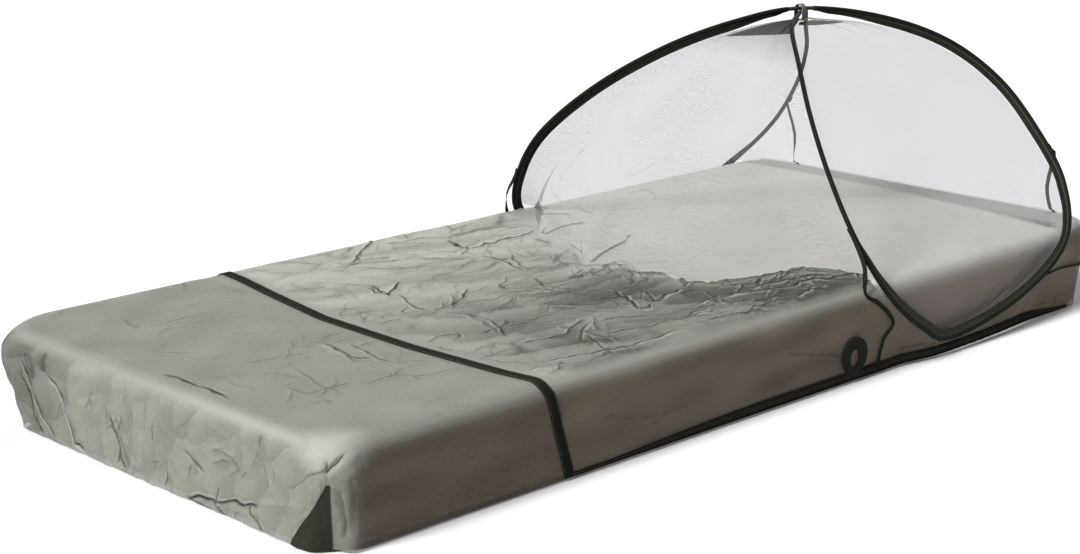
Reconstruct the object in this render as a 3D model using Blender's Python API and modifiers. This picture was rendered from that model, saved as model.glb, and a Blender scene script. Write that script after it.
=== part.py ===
# Pop-up mosquito net on a single mattress: a fitted net cover that runs over the foot end, and a
# dome of finer net over the head end, held up by one springy hoop bent into a figure of eight.
# Metres, +Z up. The mattress lies on z = 0, centred on the origin, with its head end toward +X.

import math
from collections import namedtuple

import bmesh
import bpy
from mathutils import Matrix, Vector

# ---- driving dimensions -----------------------------------------------------------------------

MATTRESS_LENGTH = 1.990
MATTRESS_WIDTH = 0.890
MATTRESS_HEIGHT = 0.165
MATTRESS_EDGE_RADIUS = 0.030

COVER_HALF_LENGTH = 1.000
COVER_HALF_WIDTH = 0.450
COVER_TOP = 0.1675
COVER_EDGE_RADIUS = 0.030
HEM_HEIGHT = 0.004
HEM_TOP = 0.022
NET_THICKNESS = 0.002
SEWING_GAP = 0.0004
CLOTH_CLEARANCE = 0.002

# Corners of the cover: which end and side, radius in plan, how far its hem is drawn in, how far it
# stands out half way up, and how much rounder the mattress is there
Corner = namedtuple("Corner", "end side radius tuck bulge extra")
CORNERS = (
    Corner(-1, -1, 0.055, 0.018, 0.000, 0.040),
    Corner(-1, 1, 0.110, 0.055, 0.025, 0.110),
    Corner(1, -1, 0.100, 0.050, 0.004, 0.098),
    Corner(1, 1, 0.100, 0.050, 0.004, 0.098),
)

# The hoop, from its crossing at the top down to the lowest point of each loop. Each row is one
# level: its height, how far out the two loops are, and where the four strands are along the bed
Level = namedtuple("Level", "height half_width near_foot near_head far_foot far_head")
LEVELS = (
    Level(0.581, 0.000, 0.572, 0.572, 0.572, 0.572),
    Level(0.564, 0.071, 0.460, 0.722, 0.464, 0.678),
    Level(0.515, 0.159, 0.374, 0.836, 0.356, 0.790),
    Level(0.439, 0.246, 0.303, 0.902, 0.247, 0.904),
    Level(0.344, 0.330, 0.258, 0.923, 0.178, 0.977),
    Level(0.243, 0.404, 0.245, 0.919, 0.185, 0.985),
    Level(0.146, 0.462, 0.272, 0.844, 0.244, 0.898),
    Level(0.068, 0.469, 0.370, 0.689, 0.368, 0.735),
    Level(0.030, 0.467, 0.468, 0.468, 0.510, 0.510),
)
STEPS_DOWN = len(LEVELS) - 1
HOOP_STEPS = 4 * STEPS_DOWN

ROD_RADIUS = 0.0040
CROSSING_LIFT = 0.0043
BARE_ROD_STEPS = 0.40
BEAD_RADIUS = 0.0045
FIN_THICKNESS = 0.0016
FIN_WIDTH = 0.0200
FIN_WIDTH_AT_TOP = 0.0120
SEAM_INSET = 0.0210

# Where the front of the dome lies down on the bed: distance across, and its reach along the bed
Reach = namedtuple("Reach", "across along")
APRON = (
    Reach(-0.36, 0.285), Reach(-0.30, 0.240), Reach(-0.25, 0.060), Reach(-0.20, 0.020),
    Reach(-0.15, 0.040), Reach(-0.10, 0.000), Reach(-0.05, 0.045), Reach(0.00, -0.025),
    Reach(0.07, 0.030), Reach(0.15, 0.080), Reach(0.24, 0.085), Reach(0.33, 0.175),
)
DOME_BASE_HEIGHT = 0.1678
REAR_BULGE = 0.030

# The strap across the cover: distance across the bed, and where it is along it
STRAP_LINE = (
    Reach(-0.45, -0.572), Reach(-0.36, -0.584), Reach(-0.27, -0.589), Reach(-0.16, -0.595),
    Reach(-0.08, -0.593), Reach(0.07, -0.589), Reach(0.25, -0.558), Reach(0.37, -0.534),
    Reach(0.45, -0.524),
)
STRAP_MEAN = -0.575
STRAP_HALF_WIDTH = 0.0105
STRAP_THICKNESS = 0.0012
STRAP_SLANT = 0.30
STRAP_FLAT_ZONE = 0.35

# The hoop holds the cover's sides out; how far past it, and the part of each loop that does
FLARE_REACH = 0.060
OUTLINE_FIRST_STEP = 4.5
OUTLINE_SPACES = 60

# Main folds of the cover's top: from, to, height and half-width of each ridge
Fold = namedtuple("Fold", "x0 y0 x1 y1 height half_width")
TOP_FOLDS = (
    Fold(-0.36, 0.21, -0.42, 0.11, 0.006, 0.026),
    Fold(-0.42, 0.11, -0.34, 0.13, 0.006, 0.026),
    Fold(-0.39, 0.11, -0.42, -0.02, 0.006, 0.028),
    Fold(-0.42, -0.02, -0.27, 0.05, 0.006, 0.028),
    Fold(-0.42, -0.02, -0.43, -0.21, 0.005, 0.028),
    Fold(-0.34, 0.30, -0.15, 0.42, 0.006, 0.028),
    Fold(-0.25, 0.18, 0.05, 0.26, 0.007, 0.026),
    Fold(-0.13, 0.06, 0.01, 0.05, 0.006, 0.028),
    Fold(-0.05, 0.26, 0.16, 0.30, 0.007, 0.026),
    Fold(-0.03, -0.01, 0.06, 0.14, 0.008, 0.024),
    Fold(-0.05, -0.17, 0.00, 0.00, 0.007, 0.026),
    Fold(-0.32, -0.03, -0.19, -0.10, 0.006, 0.028),
    Fold(-0.50, -0.27, -0.28, -0.25, 0.005, 0.028),
    Fold(-0.23, -0.29, 0.04, -0.27, 0.008, 0.024),
    Fold(-0.34, -0.35, 0.06, -0.40, 0.008, 0.024),
    Fold(-0.84, 0.30, -0.66, 0.28, 0.003, 0.035),
    Fold(-0.69, -0.04, -0.72, -0.20, 0.004, 0.035),
    Fold(-0.87, -0.22, -0.80, -0.24, 0.003, 0.035),
)
# Main folds of the foot face: across and height of both ends, then as above
FaceFold = namedtuple("FaceFold", "y0 z0 y1 z1 height half_width")
FOOT_FOLDS = (
    FaceFold(0.35, 0.150, 0.27, 0.004, 0.009, 0.022),
    FaceFold(0.27, 0.130, 0.19, 0.004, 0.009, 0.022),
    FaceFold(0.13, 0.120, 0.09, 0.004, 0.006, 0.022),
    FaceFold(-0.02, 0.100, -0.03, 0.004, 0.006, 0.020),
    FaceFold(-0.09, 0.004, -0.20, 0.040, 0.008, 0.020),
)

TIE_WIDTH = 0.008
TIE_THICKNESS = 0.001
TIE_LIFT = 0.0040
TIE_EDGE_LIFT = 0.0065
TIE_GAP = 0.0011
HEAD_TIE_GAPS = {-1: 0.0009, 1: 0.0004}
# A foot tie: heights where it lies on its strand, the place where it leaves it, then its places on
# the cover's side, each by its height and how far it is behind the strand, and last on the hem. The
# far one reaches less far behind
TieSpot = namedtuple("TieSpot", "height behind")
FOOT_TIE_ON_STRAND = (0.262, 0.240)
FOOT_TIE_LEAVES = TieSpot(0.200, 0.022)
FOOT_TIE_OUT = 0.439
FOOT_TIE_REACH = {-1: 1.0, 1: 0.7}
FOOT_TIE_ON_SIDE = (TieSpot(0.160, 0.044), TieSpot(0.138, 0.034), TieSpot(0.112, 0.034),
                    TieSpot(0.089, 0.050))
HemSpot = namedtuple("HemSpot", "along height")
FOOT_TIE_END = (HemSpot(0.272, 0.062), HemSpot(0.256, 0.012))
# A head tie: the same on its strand, then over the edge of the top and down the head face
HEAD_TIE_ON_STRAND = (0.312, 0.302, 0.292)
HEAD_TIE_LEAVES = TieSpot(0.225, -0.030)
HEAD_TIE_OUT = 0.352
HEAD_TIE_ACROSS = 0.335
HEAD_TIE_EDGE_START = 0.985
HEAD_TIE_ON_FACE = (0.150, 0.110, 0.060, 0.012)
# The tape round the near head corner, as places on the cover's plain box and their lift
TapeSpot = namedtuple("TapeSpot", "x y z lift")
CORNER_TAPE_WIDTH = 0.004
CORNER_TAPE_START = 0.100
CORNER_TAPE_SPOTS = (
    TapeSpot(0.810, -0.450, 0.096, 0.005), TapeSpot(0.860, -0.450, 0.091, 0.005),
    TapeSpot(0.900, -0.450, 0.087, 0.004), TapeSpot(0.935, -0.450, 0.083, 0.003),
    TapeSpot(0.970, -0.450, 0.079, 0.003), TapeSpot(1.000, -0.450, 0.075, 0.003),
    TapeSpot(1.000, -0.420, 0.071, 0.003), TapeSpot(1.000, -0.385, 0.067, 0.003),
    TapeSpot(1.000, -0.346, 0.063, 0.003),
)

# The webbing loop on the near hem: half-width, half-height and height of its middle
SIDE_LOOP_OUTER = (0.036, 0.034, 0.049)
SIDE_LOOP_EYE = (0.013, 0.017, 0.044)
SIDE_LOOP_THICKNESS = 0.002
SIDE_LOOP_X = 0.190

COLOURS = {
    "mattress_cloth": (0.80, 0.80, 0.78, 1.0),
    "cover_net": (0.43, 0.44, 0.42, 1.0),
    "dome_net": (0.75, 0.76, 0.77, 1.0),
    "trim": (0.026, 0.028, 0.022, 1.0),
    "rod": (0.020, 0.021, 0.018, 1.0),
    "tab_tape": (0.30, 0.30, 0.25, 1.0),
}
ROUGHNESS = {"rod": 0.45}
CLOTH_ROUGHNESS = 0.85

# ---- small helpers ----------------------------------------------------------------------------


def clear_scene():
    for thing in list(bpy.data.objects):
        bpy.data.objects.remove(thing, do_unlink=True)


def new_collection(name):
    collection = bpy.data.collections.new(name)
    bpy.context.scene.collection.children.link(collection)
    return collection


def get_material(name):
    material = bpy.data.materials.get(name)
    if material is None:
        material = bpy.data.materials.new(name)
        material.use_nodes = True
        material.diffuse_color = COLOURS[name]
        shader = material.node_tree.nodes["Principled BSDF"]
        shader.inputs["Base Color"].default_value = COLOURS[name]
        shader.inputs["Roughness"].default_value = ROUGHNESS.get(name, CLOTH_ROUGHNESS)
        shader.inputs["Metallic"].default_value = 0.0
    return material


def add_object(collection, name, mesh, material_name):
    thing = bpy.data.objects.new(name, mesh)
    collection.objects.link(thing)
    if material_name:
        mesh.materials.append(get_material(material_name))
    return thing


def mesh_from(bm, name):
    mesh = bpy.data.meshes.new(name)
    bm.to_mesh(mesh)
    bm.free()
    mesh.shade_smooth()
    return mesh


def smooth_step(value):
    value = min(1.0, max(0.0, value))
    return value * value * (3.0 - 2.0 * value)


def mix(start, end, amount):
    return start + (end - start) * amount


def read_table(rows, position):
    """Straight-line reading of a table of (across, along) rows; flat past both ends."""
    if position <= rows[0].across:
        return rows[0].along
    for low, high in zip(rows, rows[1:]):
        if position <= high.across:
            share = (position - low.across) / (high.across - low.across)
            return mix(low.along, high.along, share)
    return rows[-1].along


def distance_to_line(px, py, x0, y0, x1, y1):
    along_x = x1 - x0
    along_y = y1 - y0
    share = ((px - x0) * along_x + (py - y0) * along_y) / (along_x ** 2 + along_y ** 2)
    share = min(1.0, max(0.0, share))
    return math.hypot(px - x0 - share * along_x, py - y0 - share * along_y)


def add_grid(bm, shared, rows):
    """Quads over rows of points; points in the same place share a vertex."""
    lines = []
    for row in rows:
        line = []
        for point in row:
            key = tuple(round(value, 6) for value in point)
            if key not in shared:
                shared[key] = bm.verts.new(point)
            line.append(shared[key])
        lines.append(line)
    for upper, lower in zip(lines, lines[1:]):
        for i in range(len(upper) - 1):
            corners = []
            for vert in (upper[i], upper[i + 1], lower[i + 1], lower[i]):
                if vert not in corners:
                    corners.append(vert)
            if len(corners) > 2:
                bm.faces.new(corners)


def add_sheet(collection, name, grids, thickness, outward_from, material_name):
    """A cloth piece: its outer face as grids of points, thickened inward."""
    bm = bmesh.new()
    shared = {}
    for rows in grids:
        add_grid(bm, shared, rows)
    bmesh.ops.recalc_face_normals(bm, faces=bm.faces)
    centre = Vector(outward_from)
    facing = sum(face.normal.dot(face.calc_center_median() - centre) for face in bm.faces)
    if facing < 0:
        bmesh.ops.reverse_faces(bm, faces=bm.faces)
    sheet = add_object(collection, name, mesh_from(bm, name), material_name)
    add_thickness(sheet, thickness)
    return sheet


def add_thickness(sheet, thickness):
    solidify = sheet.modifiers.new("Thickness", "SOLIDIFY")
    solidify.thickness = thickness
    solidify.offset = -1.0


# ---- the hoop ---------------------------------------------------------------------------------


def hoop_route(lift):
    """Control points of the closed hoop: top, near head strand, near loop, near foot strand,
    top again, far head strand, far loop, far foot strand."""
    points = []
    for side, head_name, foot_name, raise_by in (
        (-1, "near_head", "near_foot", lift),
        (1, "far_head", "far_foot", -lift),
    ):
        for level in LEVELS:
            height = level.height + (raise_by if level is LEVELS[0] else 0.0)
            points.append(Vector((getattr(level, head_name), side * level.half_width, height)))
        for level in reversed(LEVELS[1:-1]):
            points.append(Vector((getattr(level, foot_name), side * level.half_width,
                                  level.height)))
    return points


HOOP_LIFTED = hoop_route(CROSSING_LIFT)
HOOP_LEVEL = hoop_route(0.0)


def hoop_point(step, route=HOOP_LIFTED):
    """A place on the hoop, one step per control point, on a smooth curve through them."""
    index = math.floor(step)
    share = step - index
    before, start, end, after = (route[(index + i) % HOOP_STEPS] for i in (-1, 0, 1, 2))
    return 0.5 * (
        2.0 * start
        + (end - before) * share
        + (2.0 * before - 5.0 * start + 4.0 * end - after) * share ** 2
        + (3.0 * (start - end) + after - before) * share ** 3
    )


def strand_step(strand, down):
    """Step on the hoop for a strand's place, 0 at the top and 1 at the lowest point."""
    return {
        "near_head": down * STEPS_DOWN,
        "near_foot": 2 * STEPS_DOWN - down * STEPS_DOWN,
        "far_head": 2 * STEPS_DOWN + down * STEPS_DOWN,
        "far_foot": HOOP_STEPS - down * STEPS_DOWN,
    }[strand]


def steps_from_top(step):
    return abs((step + STEPS_DOWN) % (2 * STEPS_DOWN) - STEPS_DOWN)


def hoop_frame(step, route=HOOP_LIFTED):
    """Centre of the hoop there, its direction, and the way into the loop or under the arch."""
    centre = hoop_point(step, route)
    ahead = (hoop_point(step + 0.02, route) - hoop_point(step - 0.02, route)).normalized()
    down = steps_from_top(step) / STEPS_DOWN
    side = -1.0 if centre.y < 0 else 1.0
    aim = Vector((0.57, side * 0.45 * smooth_step((down - 0.45) / 0.35), 0.22))
    inward = aim - centre
    inward = (inward - ahead * inward.dot(ahead)).normalized()
    return centre, ahead, inward


def seam_point(strand, down):
    """Where the dome's panels meet, just inside the sleeve's fin."""
    step = strand_step(strand, down)
    centre, _, inward = hoop_frame(step, HOOP_LEVEL)
    if down == 0.0:
        return Vector((LEVELS[0].near_foot, 0.0, LEVELS[0].height - SEAM_INSET))
    return centre + inward * SEAM_INSET


def down_at_height(strand, height):
    low = 0.4
    high = 1.0
    for _ in range(30):
        middle = 0.5 * (low + high)
        if seam_point(strand, middle).z > height:
            low = middle
        else:
            high = middle
    return 0.5 * (low + high)


STRANDS = ("near_foot", "near_head", "far_foot", "far_head")
BASE_DOWN = {strand: down_at_height(strand, DOME_BASE_HEIGHT) for strand in STRANDS}
ROWS_ABOVE = 13
ROWS_BELOW = 8
UPPER_SHARES = [i / ROWS_ABOVE for i in range(ROWS_ABOVE + 1)]
LOWER_SHARES = [1.0 + (i + 1) / ROWS_BELOW for i in range(ROWS_BELOW)]


def panel_down(strand, share):
    """Strand place for a share: 0 the top, 1 the bed's surface, 2 the lowest point."""
    base = BASE_DOWN[strand]
    if share <= 1.0:
        return base * share
    return base + (1.0 - base) * (share - 1.0)


def sleeve_steps(side):
    """Stations of one loop's sleeve, at the same places as the rows of the dome's panels."""
    head, foot = ("near_head", "near_foot") if side < 0 else ("far_head", "far_foot")
    shares = UPPER_SHARES[1:] + LOWER_SHARES
    first = strand_step(head, 0.0)
    steps = [first + BARE_ROD_STEPS]
    steps += [strand_step(head, panel_down(head, share)) for share in shares]
    steps += [strand_step(foot, panel_down(foot, share)) for share in reversed(shares[:-1])]
    return steps + [first + 2 * STEPS_DOWN - BARE_ROD_STEPS]


# ---- the fitted cover's surface ---------------------------------------------------------------


def corner_at(x, y):
    for corner in CORNERS:
        if corner.end * x >= 0 and corner.side * y >= 0:
            return corner
    return CORNERS[0]


def round_plan(x, y, corner):
    """Bends the box's square corner onto its round one."""
    radius = corner.radius
    past_x = (abs(x) - COVER_HALF_LENGTH + radius) / radius
    past_y = (abs(y) - COVER_HALF_WIDTH + radius) / radius
    if past_x <= 0 or past_y <= 0:
        return x, y
    scale = max(past_x, past_y) / math.hypot(past_x, past_y)
    new_x = COVER_HALF_LENGTH - radius + past_x * scale * radius
    new_y = COVER_HALF_WIDTH - radius + past_y * scale * radius
    return math.copysign(new_x, x), math.copysign(new_y, y)


def plan_edge(x, y, corner):
    """Distance in from the cover's outline, and the direction out of it."""
    past_x = abs(x) - (COVER_HALF_LENGTH - corner.radius)
    past_y = abs(y) - (COVER_HALF_WIDTH - corner.radius)
    if past_x > 0 and past_y > 0:
        reach = math.hypot(past_x, past_y)
        out = Vector((math.copysign(past_x / reach, x), math.copysign(past_y / reach, y), 0.0))
        return corner.radius - reach, out
    if past_x > past_y:
        return corner.radius - past_x, Vector((math.copysign(1.0, x), 0.0, 0.0))
    return corner.radius - past_y, Vector((0.0, math.copysign(1.0, y), 0.0))


def strap_line(y, z):
    return read_table(STRAP_LINE, y) + STRAP_SLANT * (COVER_TOP - z)


def follow_strap(x, y, z):
    """Moves the cover's stations near the strap so that they run along it."""
    near = smooth_step(1.0 - abs(x - STRAP_MEAN) / STRAP_FLAT_ZONE)
    return x + (strap_line(y, z) - STRAP_MEAN) * near


def loop_outline(side):
    """Lower part of one loop, seen from the side: (x, z, distance from the middle plane)."""
    top = 0 if side < 0 else 2 * STEPS_DOWN
    outline = []
    for i in range(OUTLINE_SPACES + 1):
        share = i / OUTLINE_SPACES
        first = top + OUTLINE_FIRST_STEP
        point = hoop_point(mix(first, top + 2 * STEPS_DOWN - OUTLINE_FIRST_STEP, share))
        outline.append((point.x, point.z, abs(point.y)))
    return outline


LOOP_OUTLINES = {-1: loop_outline(-1), 1: loop_outline(1)}


def flare_at(x, z, side):
    """How far the hoop holds the cover's side off the mattress."""
    outline = LOOP_OUTLINES[side]
    inside = False
    nearest = min(outline, key=lambda spot: math.hypot(spot[0] - x, spot[1] - z))
    for (x0, z0, _), (x1, z1, _) in zip(outline, outline[1:] + outline[:1]):
        if (z0 > z) != (z1 > z) and x < x0 + (x1 - x0) * (z - z0) / (z1 - z0):
            inside = not inside
    away = 0.0 if inside else math.hypot(nearest[0] - x, nearest[1] - z)
    return max(0.0, nearest[2] - COVER_HALF_WIDTH) * max(0.0, 1.0 - away / FLARE_REACH)


def fold_height(x, y, z, on_top, on_foot):
    height = 0.0
    if on_top:
        calm = smooth_step((abs(x - strap_line(y, COVER_TOP)) - 0.02) / 0.05)
        edge = smooth_step((COVER_HALF_WIDTH - abs(y)) / 0.04)
        edge *= smooth_step((read_table(APRON, y) - 0.010 - x) / 0.050)
        for fold in TOP_FOLDS:
            away = distance_to_line(x, y, fold.x0, fold.y0, fold.x1, fold.y1)
            height = max(height, fold.height * math.exp(-(away / fold.half_width) ** 2))
        height *= calm * edge
    if on_foot:
        for fold in FOOT_FOLDS:
            away = distance_to_line(y, z, fold.y0, fold.z0, fold.y1, fold.z1)
            height = max(height, fold.height * math.exp(-(away / fold.half_width) ** 2))
    return height


def drape(x, y, z, outward=0.0):
    """Takes a place on the plain box round the mattress to its place on the fitted cover."""
    x = follow_strap(x, y, z)
    corner = corner_at(x, y)
    on_top = z > COVER_TOP - 1e-6
    on_foot = x < -COVER_HALF_LENGTH + 1e-6
    on_side = abs(y) > COVER_HALF_WIDTH - 1e-6
    plan_x, plan_y = round_plan(x, y, corner)
    inset, out = plan_edge(plan_x, plan_y, corner)
    inset = max(0.0, inset)
    radius = COVER_EDGE_RADIUS
    edge = Vector((plan_x, plan_y, 0.0)) + out * inset
    if on_top:
        angle = math.radians(45.0 + 45.0 * min(1.0, inset / radius))
        inset = radius * (1.0 - math.cos(angle)) if inset < radius else inset
        height = COVER_TOP - radius * (1.0 - math.sin(angle))
    else:
        angle = math.radians(45.0 * max(0.0, (z - COVER_TOP + radius) / radius))
        inset = radius * (1.0 - math.cos(angle))
        height = z if angle == 0.0 else COVER_TOP - radius * (1.0 - math.sin(angle))
    normal = out * math.cos(angle) + Vector((0.0, 0.0, math.sin(angle)))
    lift = outward + fold_height(x, y, height, on_top, on_foot)
    if on_side and not on_top:
        lift += flare_at(x, max(height, HEM_TOP), -1 if y < 0 else 1)
    in_corner = max(0.0, out.x * out.x * out.y * out.y * 4.0)
    share = height / COVER_TOP
    shift = corner.bulge * math.sin(math.pi * share) - corner.tuck * (1.0 - share) ** 3
    place = edge + out * (shift * in_corner - inset) + normal * lift
    place.z += height
    return place


# ---- the mattress -----------------------------------------------------------------------------


def build_mattress(collection):
    """A block with round corners, then its top and bottom edges rounded too."""
    bm = bmesh.new()
    bmesh.ops.create_cube(bm, size=1.0)
    for vert in bm.verts:
        vert.co.x *= MATTRESS_LENGTH
        vert.co.y *= MATTRESS_WIDTH
        vert.co.z = (vert.co.z + 0.5) * MATTRESS_HEIGHT
    for corner in CORNERS:
        upright = [edge for edge in bm.edges
                   if all(vert.co.x * corner.end > 0.9 * 0.5 * MATTRESS_LENGTH
                          and vert.co.y * corner.side > 0.9 * 0.5 * MATTRESS_WIDTH
                          for vert in edge.verts)
                   and abs(edge.verts[0].co.z - edge.verts[1].co.z) > 0.9 * MATTRESS_HEIGHT]
        bmesh.ops.bevel(bm, geom=upright, offset=corner.radius + corner.extra,
                        offset_type="OFFSET", segments=6, profile=0.5, affect="EDGES")
    mattress = add_object(collection, "mattress", mesh_from(bm, "mattress"), "mattress_cloth")
    rounding = mattress.modifiers.new("Rounded edges", "BEVEL")
    rounding.width = MATTRESS_EDGE_RADIUS
    rounding.segments = 4
    rounding.limit_method = "ANGLE"
    rounding.angle_limit = math.radians(60)
    return mattress


# ---- stations of the cover's cloth ------------------------------------------------------------

EDGE_STATIONS = (0.0, 0.015, 0.030, 0.065, 0.105)
SIDE_HEIGHTS = (HEM_HEIGHT, HEM_TOP, 0.070, COVER_TOP - 0.030, COVER_TOP - 0.015)
CLOTH_STATION = 0.040
FAR_STATION = 0.060


def spread(start, end, spacing):
    count = max(1, round(abs(end - start) / spacing))
    return [start + (end - start) * i / count for i in range(count + 1)]


def width_stations():
    inner = COVER_HALF_WIDTH - EDGE_STATIONS[-1]
    middle = spread(-inner, inner, CLOTH_STATION)
    edge = [COVER_HALF_WIDTH - inset for inset in EDGE_STATIONS[:-1]]
    return [-value for value in edge] + middle + list(reversed(edge))


WIDTH_STATIONS = width_stations()


def build_cover(collection, name, start, end, stations, open_end):
    """A box without its underside, cut along its stations, draped and thickened."""
    bm = bmesh.new()
    bmesh.ops.create_cube(bm, size=1.0)
    for vert in bm.verts:
        vert.co.x = start if vert.co.x < 0 else end
        vert.co.y *= 2.0 * COVER_HALF_WIDTH
        vert.co.z = HEM_HEIGHT if vert.co.z < 0 else COVER_TOP
    unwanted = [face for face in bm.faces
                if face.normal.z < -0.5 or face.normal.x * open_end > 0.5]
    bmesh.ops.delete(bm, geom=unwanted, context="FACES")
    cuts = [(Vector((value, 0, 0)), Vector((1, 0, 0))) for value in stations]
    cuts += [(Vector((0, value, 0)), Vector((0, 1, 0))) for value in WIDTH_STATIONS[1:-1]]
    cuts += [(Vector((0, 0, value)), Vector((0, 0, 1))) for value in SIDE_HEIGHTS[1:]]
    for place, direction in cuts:
        geometry = bm.verts[:] + bm.edges[:] + bm.faces[:]
        bmesh.ops.bisect_plane(bm, geom=geometry, plane_co=place, plane_no=direction, dist=1e-6)
    for vert in bm.verts:
        vert.co = drape(*vert.co)
    bmesh.ops.recalc_face_normals(bm, faces=bm.faces)
    if sum(face.normal.z * face.calc_area() for face in bm.faces) < 0:
        bmesh.ops.reverse_faces(bm, faces=bm.faces)
    cover = add_object(collection, name, mesh_from(bm, name), "cover_net")
    add_thickness(cover, NET_THICKNESS)
    return cover


def build_foot_cover(collection):
    edge = [-COVER_HALF_LENGTH + inset for inset in EDGE_STATIONS[1:]]
    end = STRAP_MEAN - 0.5 * SEWING_GAP
    stations = edge + spread(edge[-1], STRAP_MEAN - STRAP_HALF_WIDTH, CLOTH_STATION)[1:]
    return build_cover(collection, "foot_cover", -COVER_HALF_LENGTH, end, stations, 1)


def build_bed_cover(collection, cutters):
    start = STRAP_MEAN + 0.5 * SEWING_GAP
    edge = [COVER_HALF_LENGTH - inset for inset in EDGE_STATIONS[1:]]
    stations = spread(STRAP_MEAN + STRAP_HALF_WIDTH, 0.26, CLOTH_STATION)
    stations += spread(0.26, edge[-1], FAR_STATION)[1:] + edge[:-1]
    cover = build_cover(collection, "bed_cover", start, COVER_HALF_LENGTH, stations, -1)
    for cutter in cutters:
        cut = cover.modifiers.new("Cut out " + cutter.name, "BOOLEAN")
        cut.operation = "DIFFERENCE"
        cut.solver = "EXACT"
        cut.object = cutter
    return cover


# ---- the cut-out for the dome -----------------------------------------------------------------


def build_prism(collection, name, outline, sweep):
    """A closed prism over a flat outline; it only cuts."""
    bm = bmesh.new()
    face = bm.faces.new([bm.verts.new(point) for point in outline])
    moved = bmesh.ops.extrude_face_region(bm, geom=[face])
    for item in moved["geom"]:
        if isinstance(item, bmesh.types.BMVert):
            item.co += Vector(sweep)
    bmesh.ops.recalc_face_normals(bm, faces=bm.faces)
    cutter = add_object(collection, name, mesh_from(bm, name), None)
    cutter.hide_render = True
    cutter.display_type = "WIRE"
    return cutter


def front_edge(across):
    """Where the dome's front ends on the bed, for a place from -1 near to 1 far."""
    near = seam_point("near_foot", BASE_DOWN["near_foot"])
    far = seam_point("far_foot", BASE_DOWN["far_foot"])
    y = mix(near.y, far.y, 0.5 * (across + 1.0))
    straight = mix(near.x, far.x, 0.5 * (across + 1.0))
    hold = smooth_step((0.90 - abs(across)) / 0.20)
    return Vector((mix(straight, read_table(APRON, y), hold), y, DOME_BASE_HEIGHT))


def rear_edge(across):
    near = seam_point("near_head", BASE_DOWN["near_head"])
    far = seam_point("far_head", BASE_DOWN["far_head"])
    share = 0.5 * (across + 1.0)
    bulge = REAR_BULGE * (1.0 - across * across)
    return Vector((mix(near.x, far.x, share) + bulge, mix(near.y, far.y, share),
                   DOME_BASE_HEIGHT))


ACROSS_STEPS = 14
CUT_OUT_TOP = 0.260


def build_cutters(collection):
    clear = Vector((CLOTH_CLEARANCE, 0.0, 0.0))
    outline = []
    for i in range(ACROSS_STEPS + 1):
        outline.append(front_edge(2.0 * i / ACROSS_STEPS - 1.0) - clear)
    for i in range(ACROSS_STEPS + 1):
        outline.append(rear_edge(1.0 - 2.0 * i / ACROSS_STEPS) + clear)
    floor_plan = [Vector((point.x, point.y, 0.150)) for point in outline]
    cutters = [build_prism(collection, "footprint", floor_plan, (0, 0, 0.10))]
    for side, name in ((-1, "near_cut_out"), (1, "far_cut_out")):
        profile = []
        for step in sleeve_steps(side):
            centre, _, inward = hoop_frame(step)
            if centre.z > CUT_OUT_TOP:
                continue
            flat = Vector((inward.x, 0.0, inward.z)).normalized()
            spot = centre - flat * (BEAD_RADIUS + SEWING_GAP)
            profile.append(Vector((spot.x, side * 0.42, spot.z)))
        cutters.append(build_prism(collection, name, profile, (0, side * 0.2, 0)))
    return cutters


# ---- the dome ---------------------------------------------------------------------------------

SIDE_STEPS = 8
PANEL_THICKNESS = 0.0012
PANEL_INSET = 0.0014
PANEL_LOW_START = 0.40
END_PANEL_LOW_INSET = 0.0036
PANEL_TOP = 0.020
SIDE_SAG = 0.016
FRONT_SAG = 0.020
APRON_START = 0.42


def side_panel(side, down_share, along):
    """A place on the panel inside one loop: share of the way down, and from foot to head."""
    foot, head = ("near_foot", "near_head") if side < 0 else ("far_foot", "far_head")
    start = seam_point(foot, panel_down(foot, down_share))
    end = seam_point(head, panel_down(head, down_share))
    sag = SIDE_SAG * 4.0 * along * (1.0 - along) * math.sin(math.pi * min(1.0, down_share / 2.0))
    point = start.lerp(end, along)
    lean = smooth_step(down_share)
    point.y -= side * sag * lean
    point.z -= sag * (1.0 - lean)
    return point


def end_panel(end, down_share, across):
    """A place on the panel toward the foot or the head; across runs from near to far."""
    near = seam_point("near_" + end, panel_down("near_" + end, down_share))
    far = seam_point("far_" + end, panel_down("far_" + end, down_share))
    point = near.lerp(far, across)
    base = front_edge(2.0 * across - 1.0) if end == "foot" else rear_edge(2.0 * across - 1.0)
    near_base = seam_point("near_" + end, BASE_DOWN["near_" + end])
    far_base = seam_point("far_" + end, BASE_DOWN["far_" + end])
    pull = base.x - mix(near_base.x, far_base.x, across)
    start = APRON_START if end == "foot" else 0.0
    amount = smooth_step((down_share - start) / (1.0 - start))
    point.x += pull * amount
    sag = FRONT_SAG * 4.0 * across * (1.0 - across) * math.sin(math.pi * down_share)
    point.x += sag * (1.0 if end == "foot" else -1.0)
    if down_share >= 1.0:
        point.z = DOME_BASE_HEIGHT
    return point


def inset_row(row, inset):
    """A row of a panel with both its ends drawn in from the seams by a distance."""
    row = list(row)
    for end, following in ((0, 1), (-1, -2)):
        along = row[following] - row[end]
        if along.length > 2.0 * inset:
            row[end] = row[end] + along.normalized() * inset
        else:
            row[end] = row[end] + along * 0.5
    return row


def build_panel(collection, name, shape, shares, steps, low_inset=PANEL_INSET):
    """One panel of the dome, from near its top down, its side edges just clear of the seams."""
    rows = []
    for share in shares:
        row = [shape(max(share, PANEL_TOP), i / steps) for i in range(steps + 1)]
        low = smooth_step((share - PANEL_LOW_START) / (1.0 - PANEL_LOW_START) * 2.0)
        rows.append(inset_row(row, mix(PANEL_INSET, low_inset, low)))
    return add_sheet(collection, name, [rows], PANEL_THICKNESS, (0.57, 0.0, 0.2), "dome_net")


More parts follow.
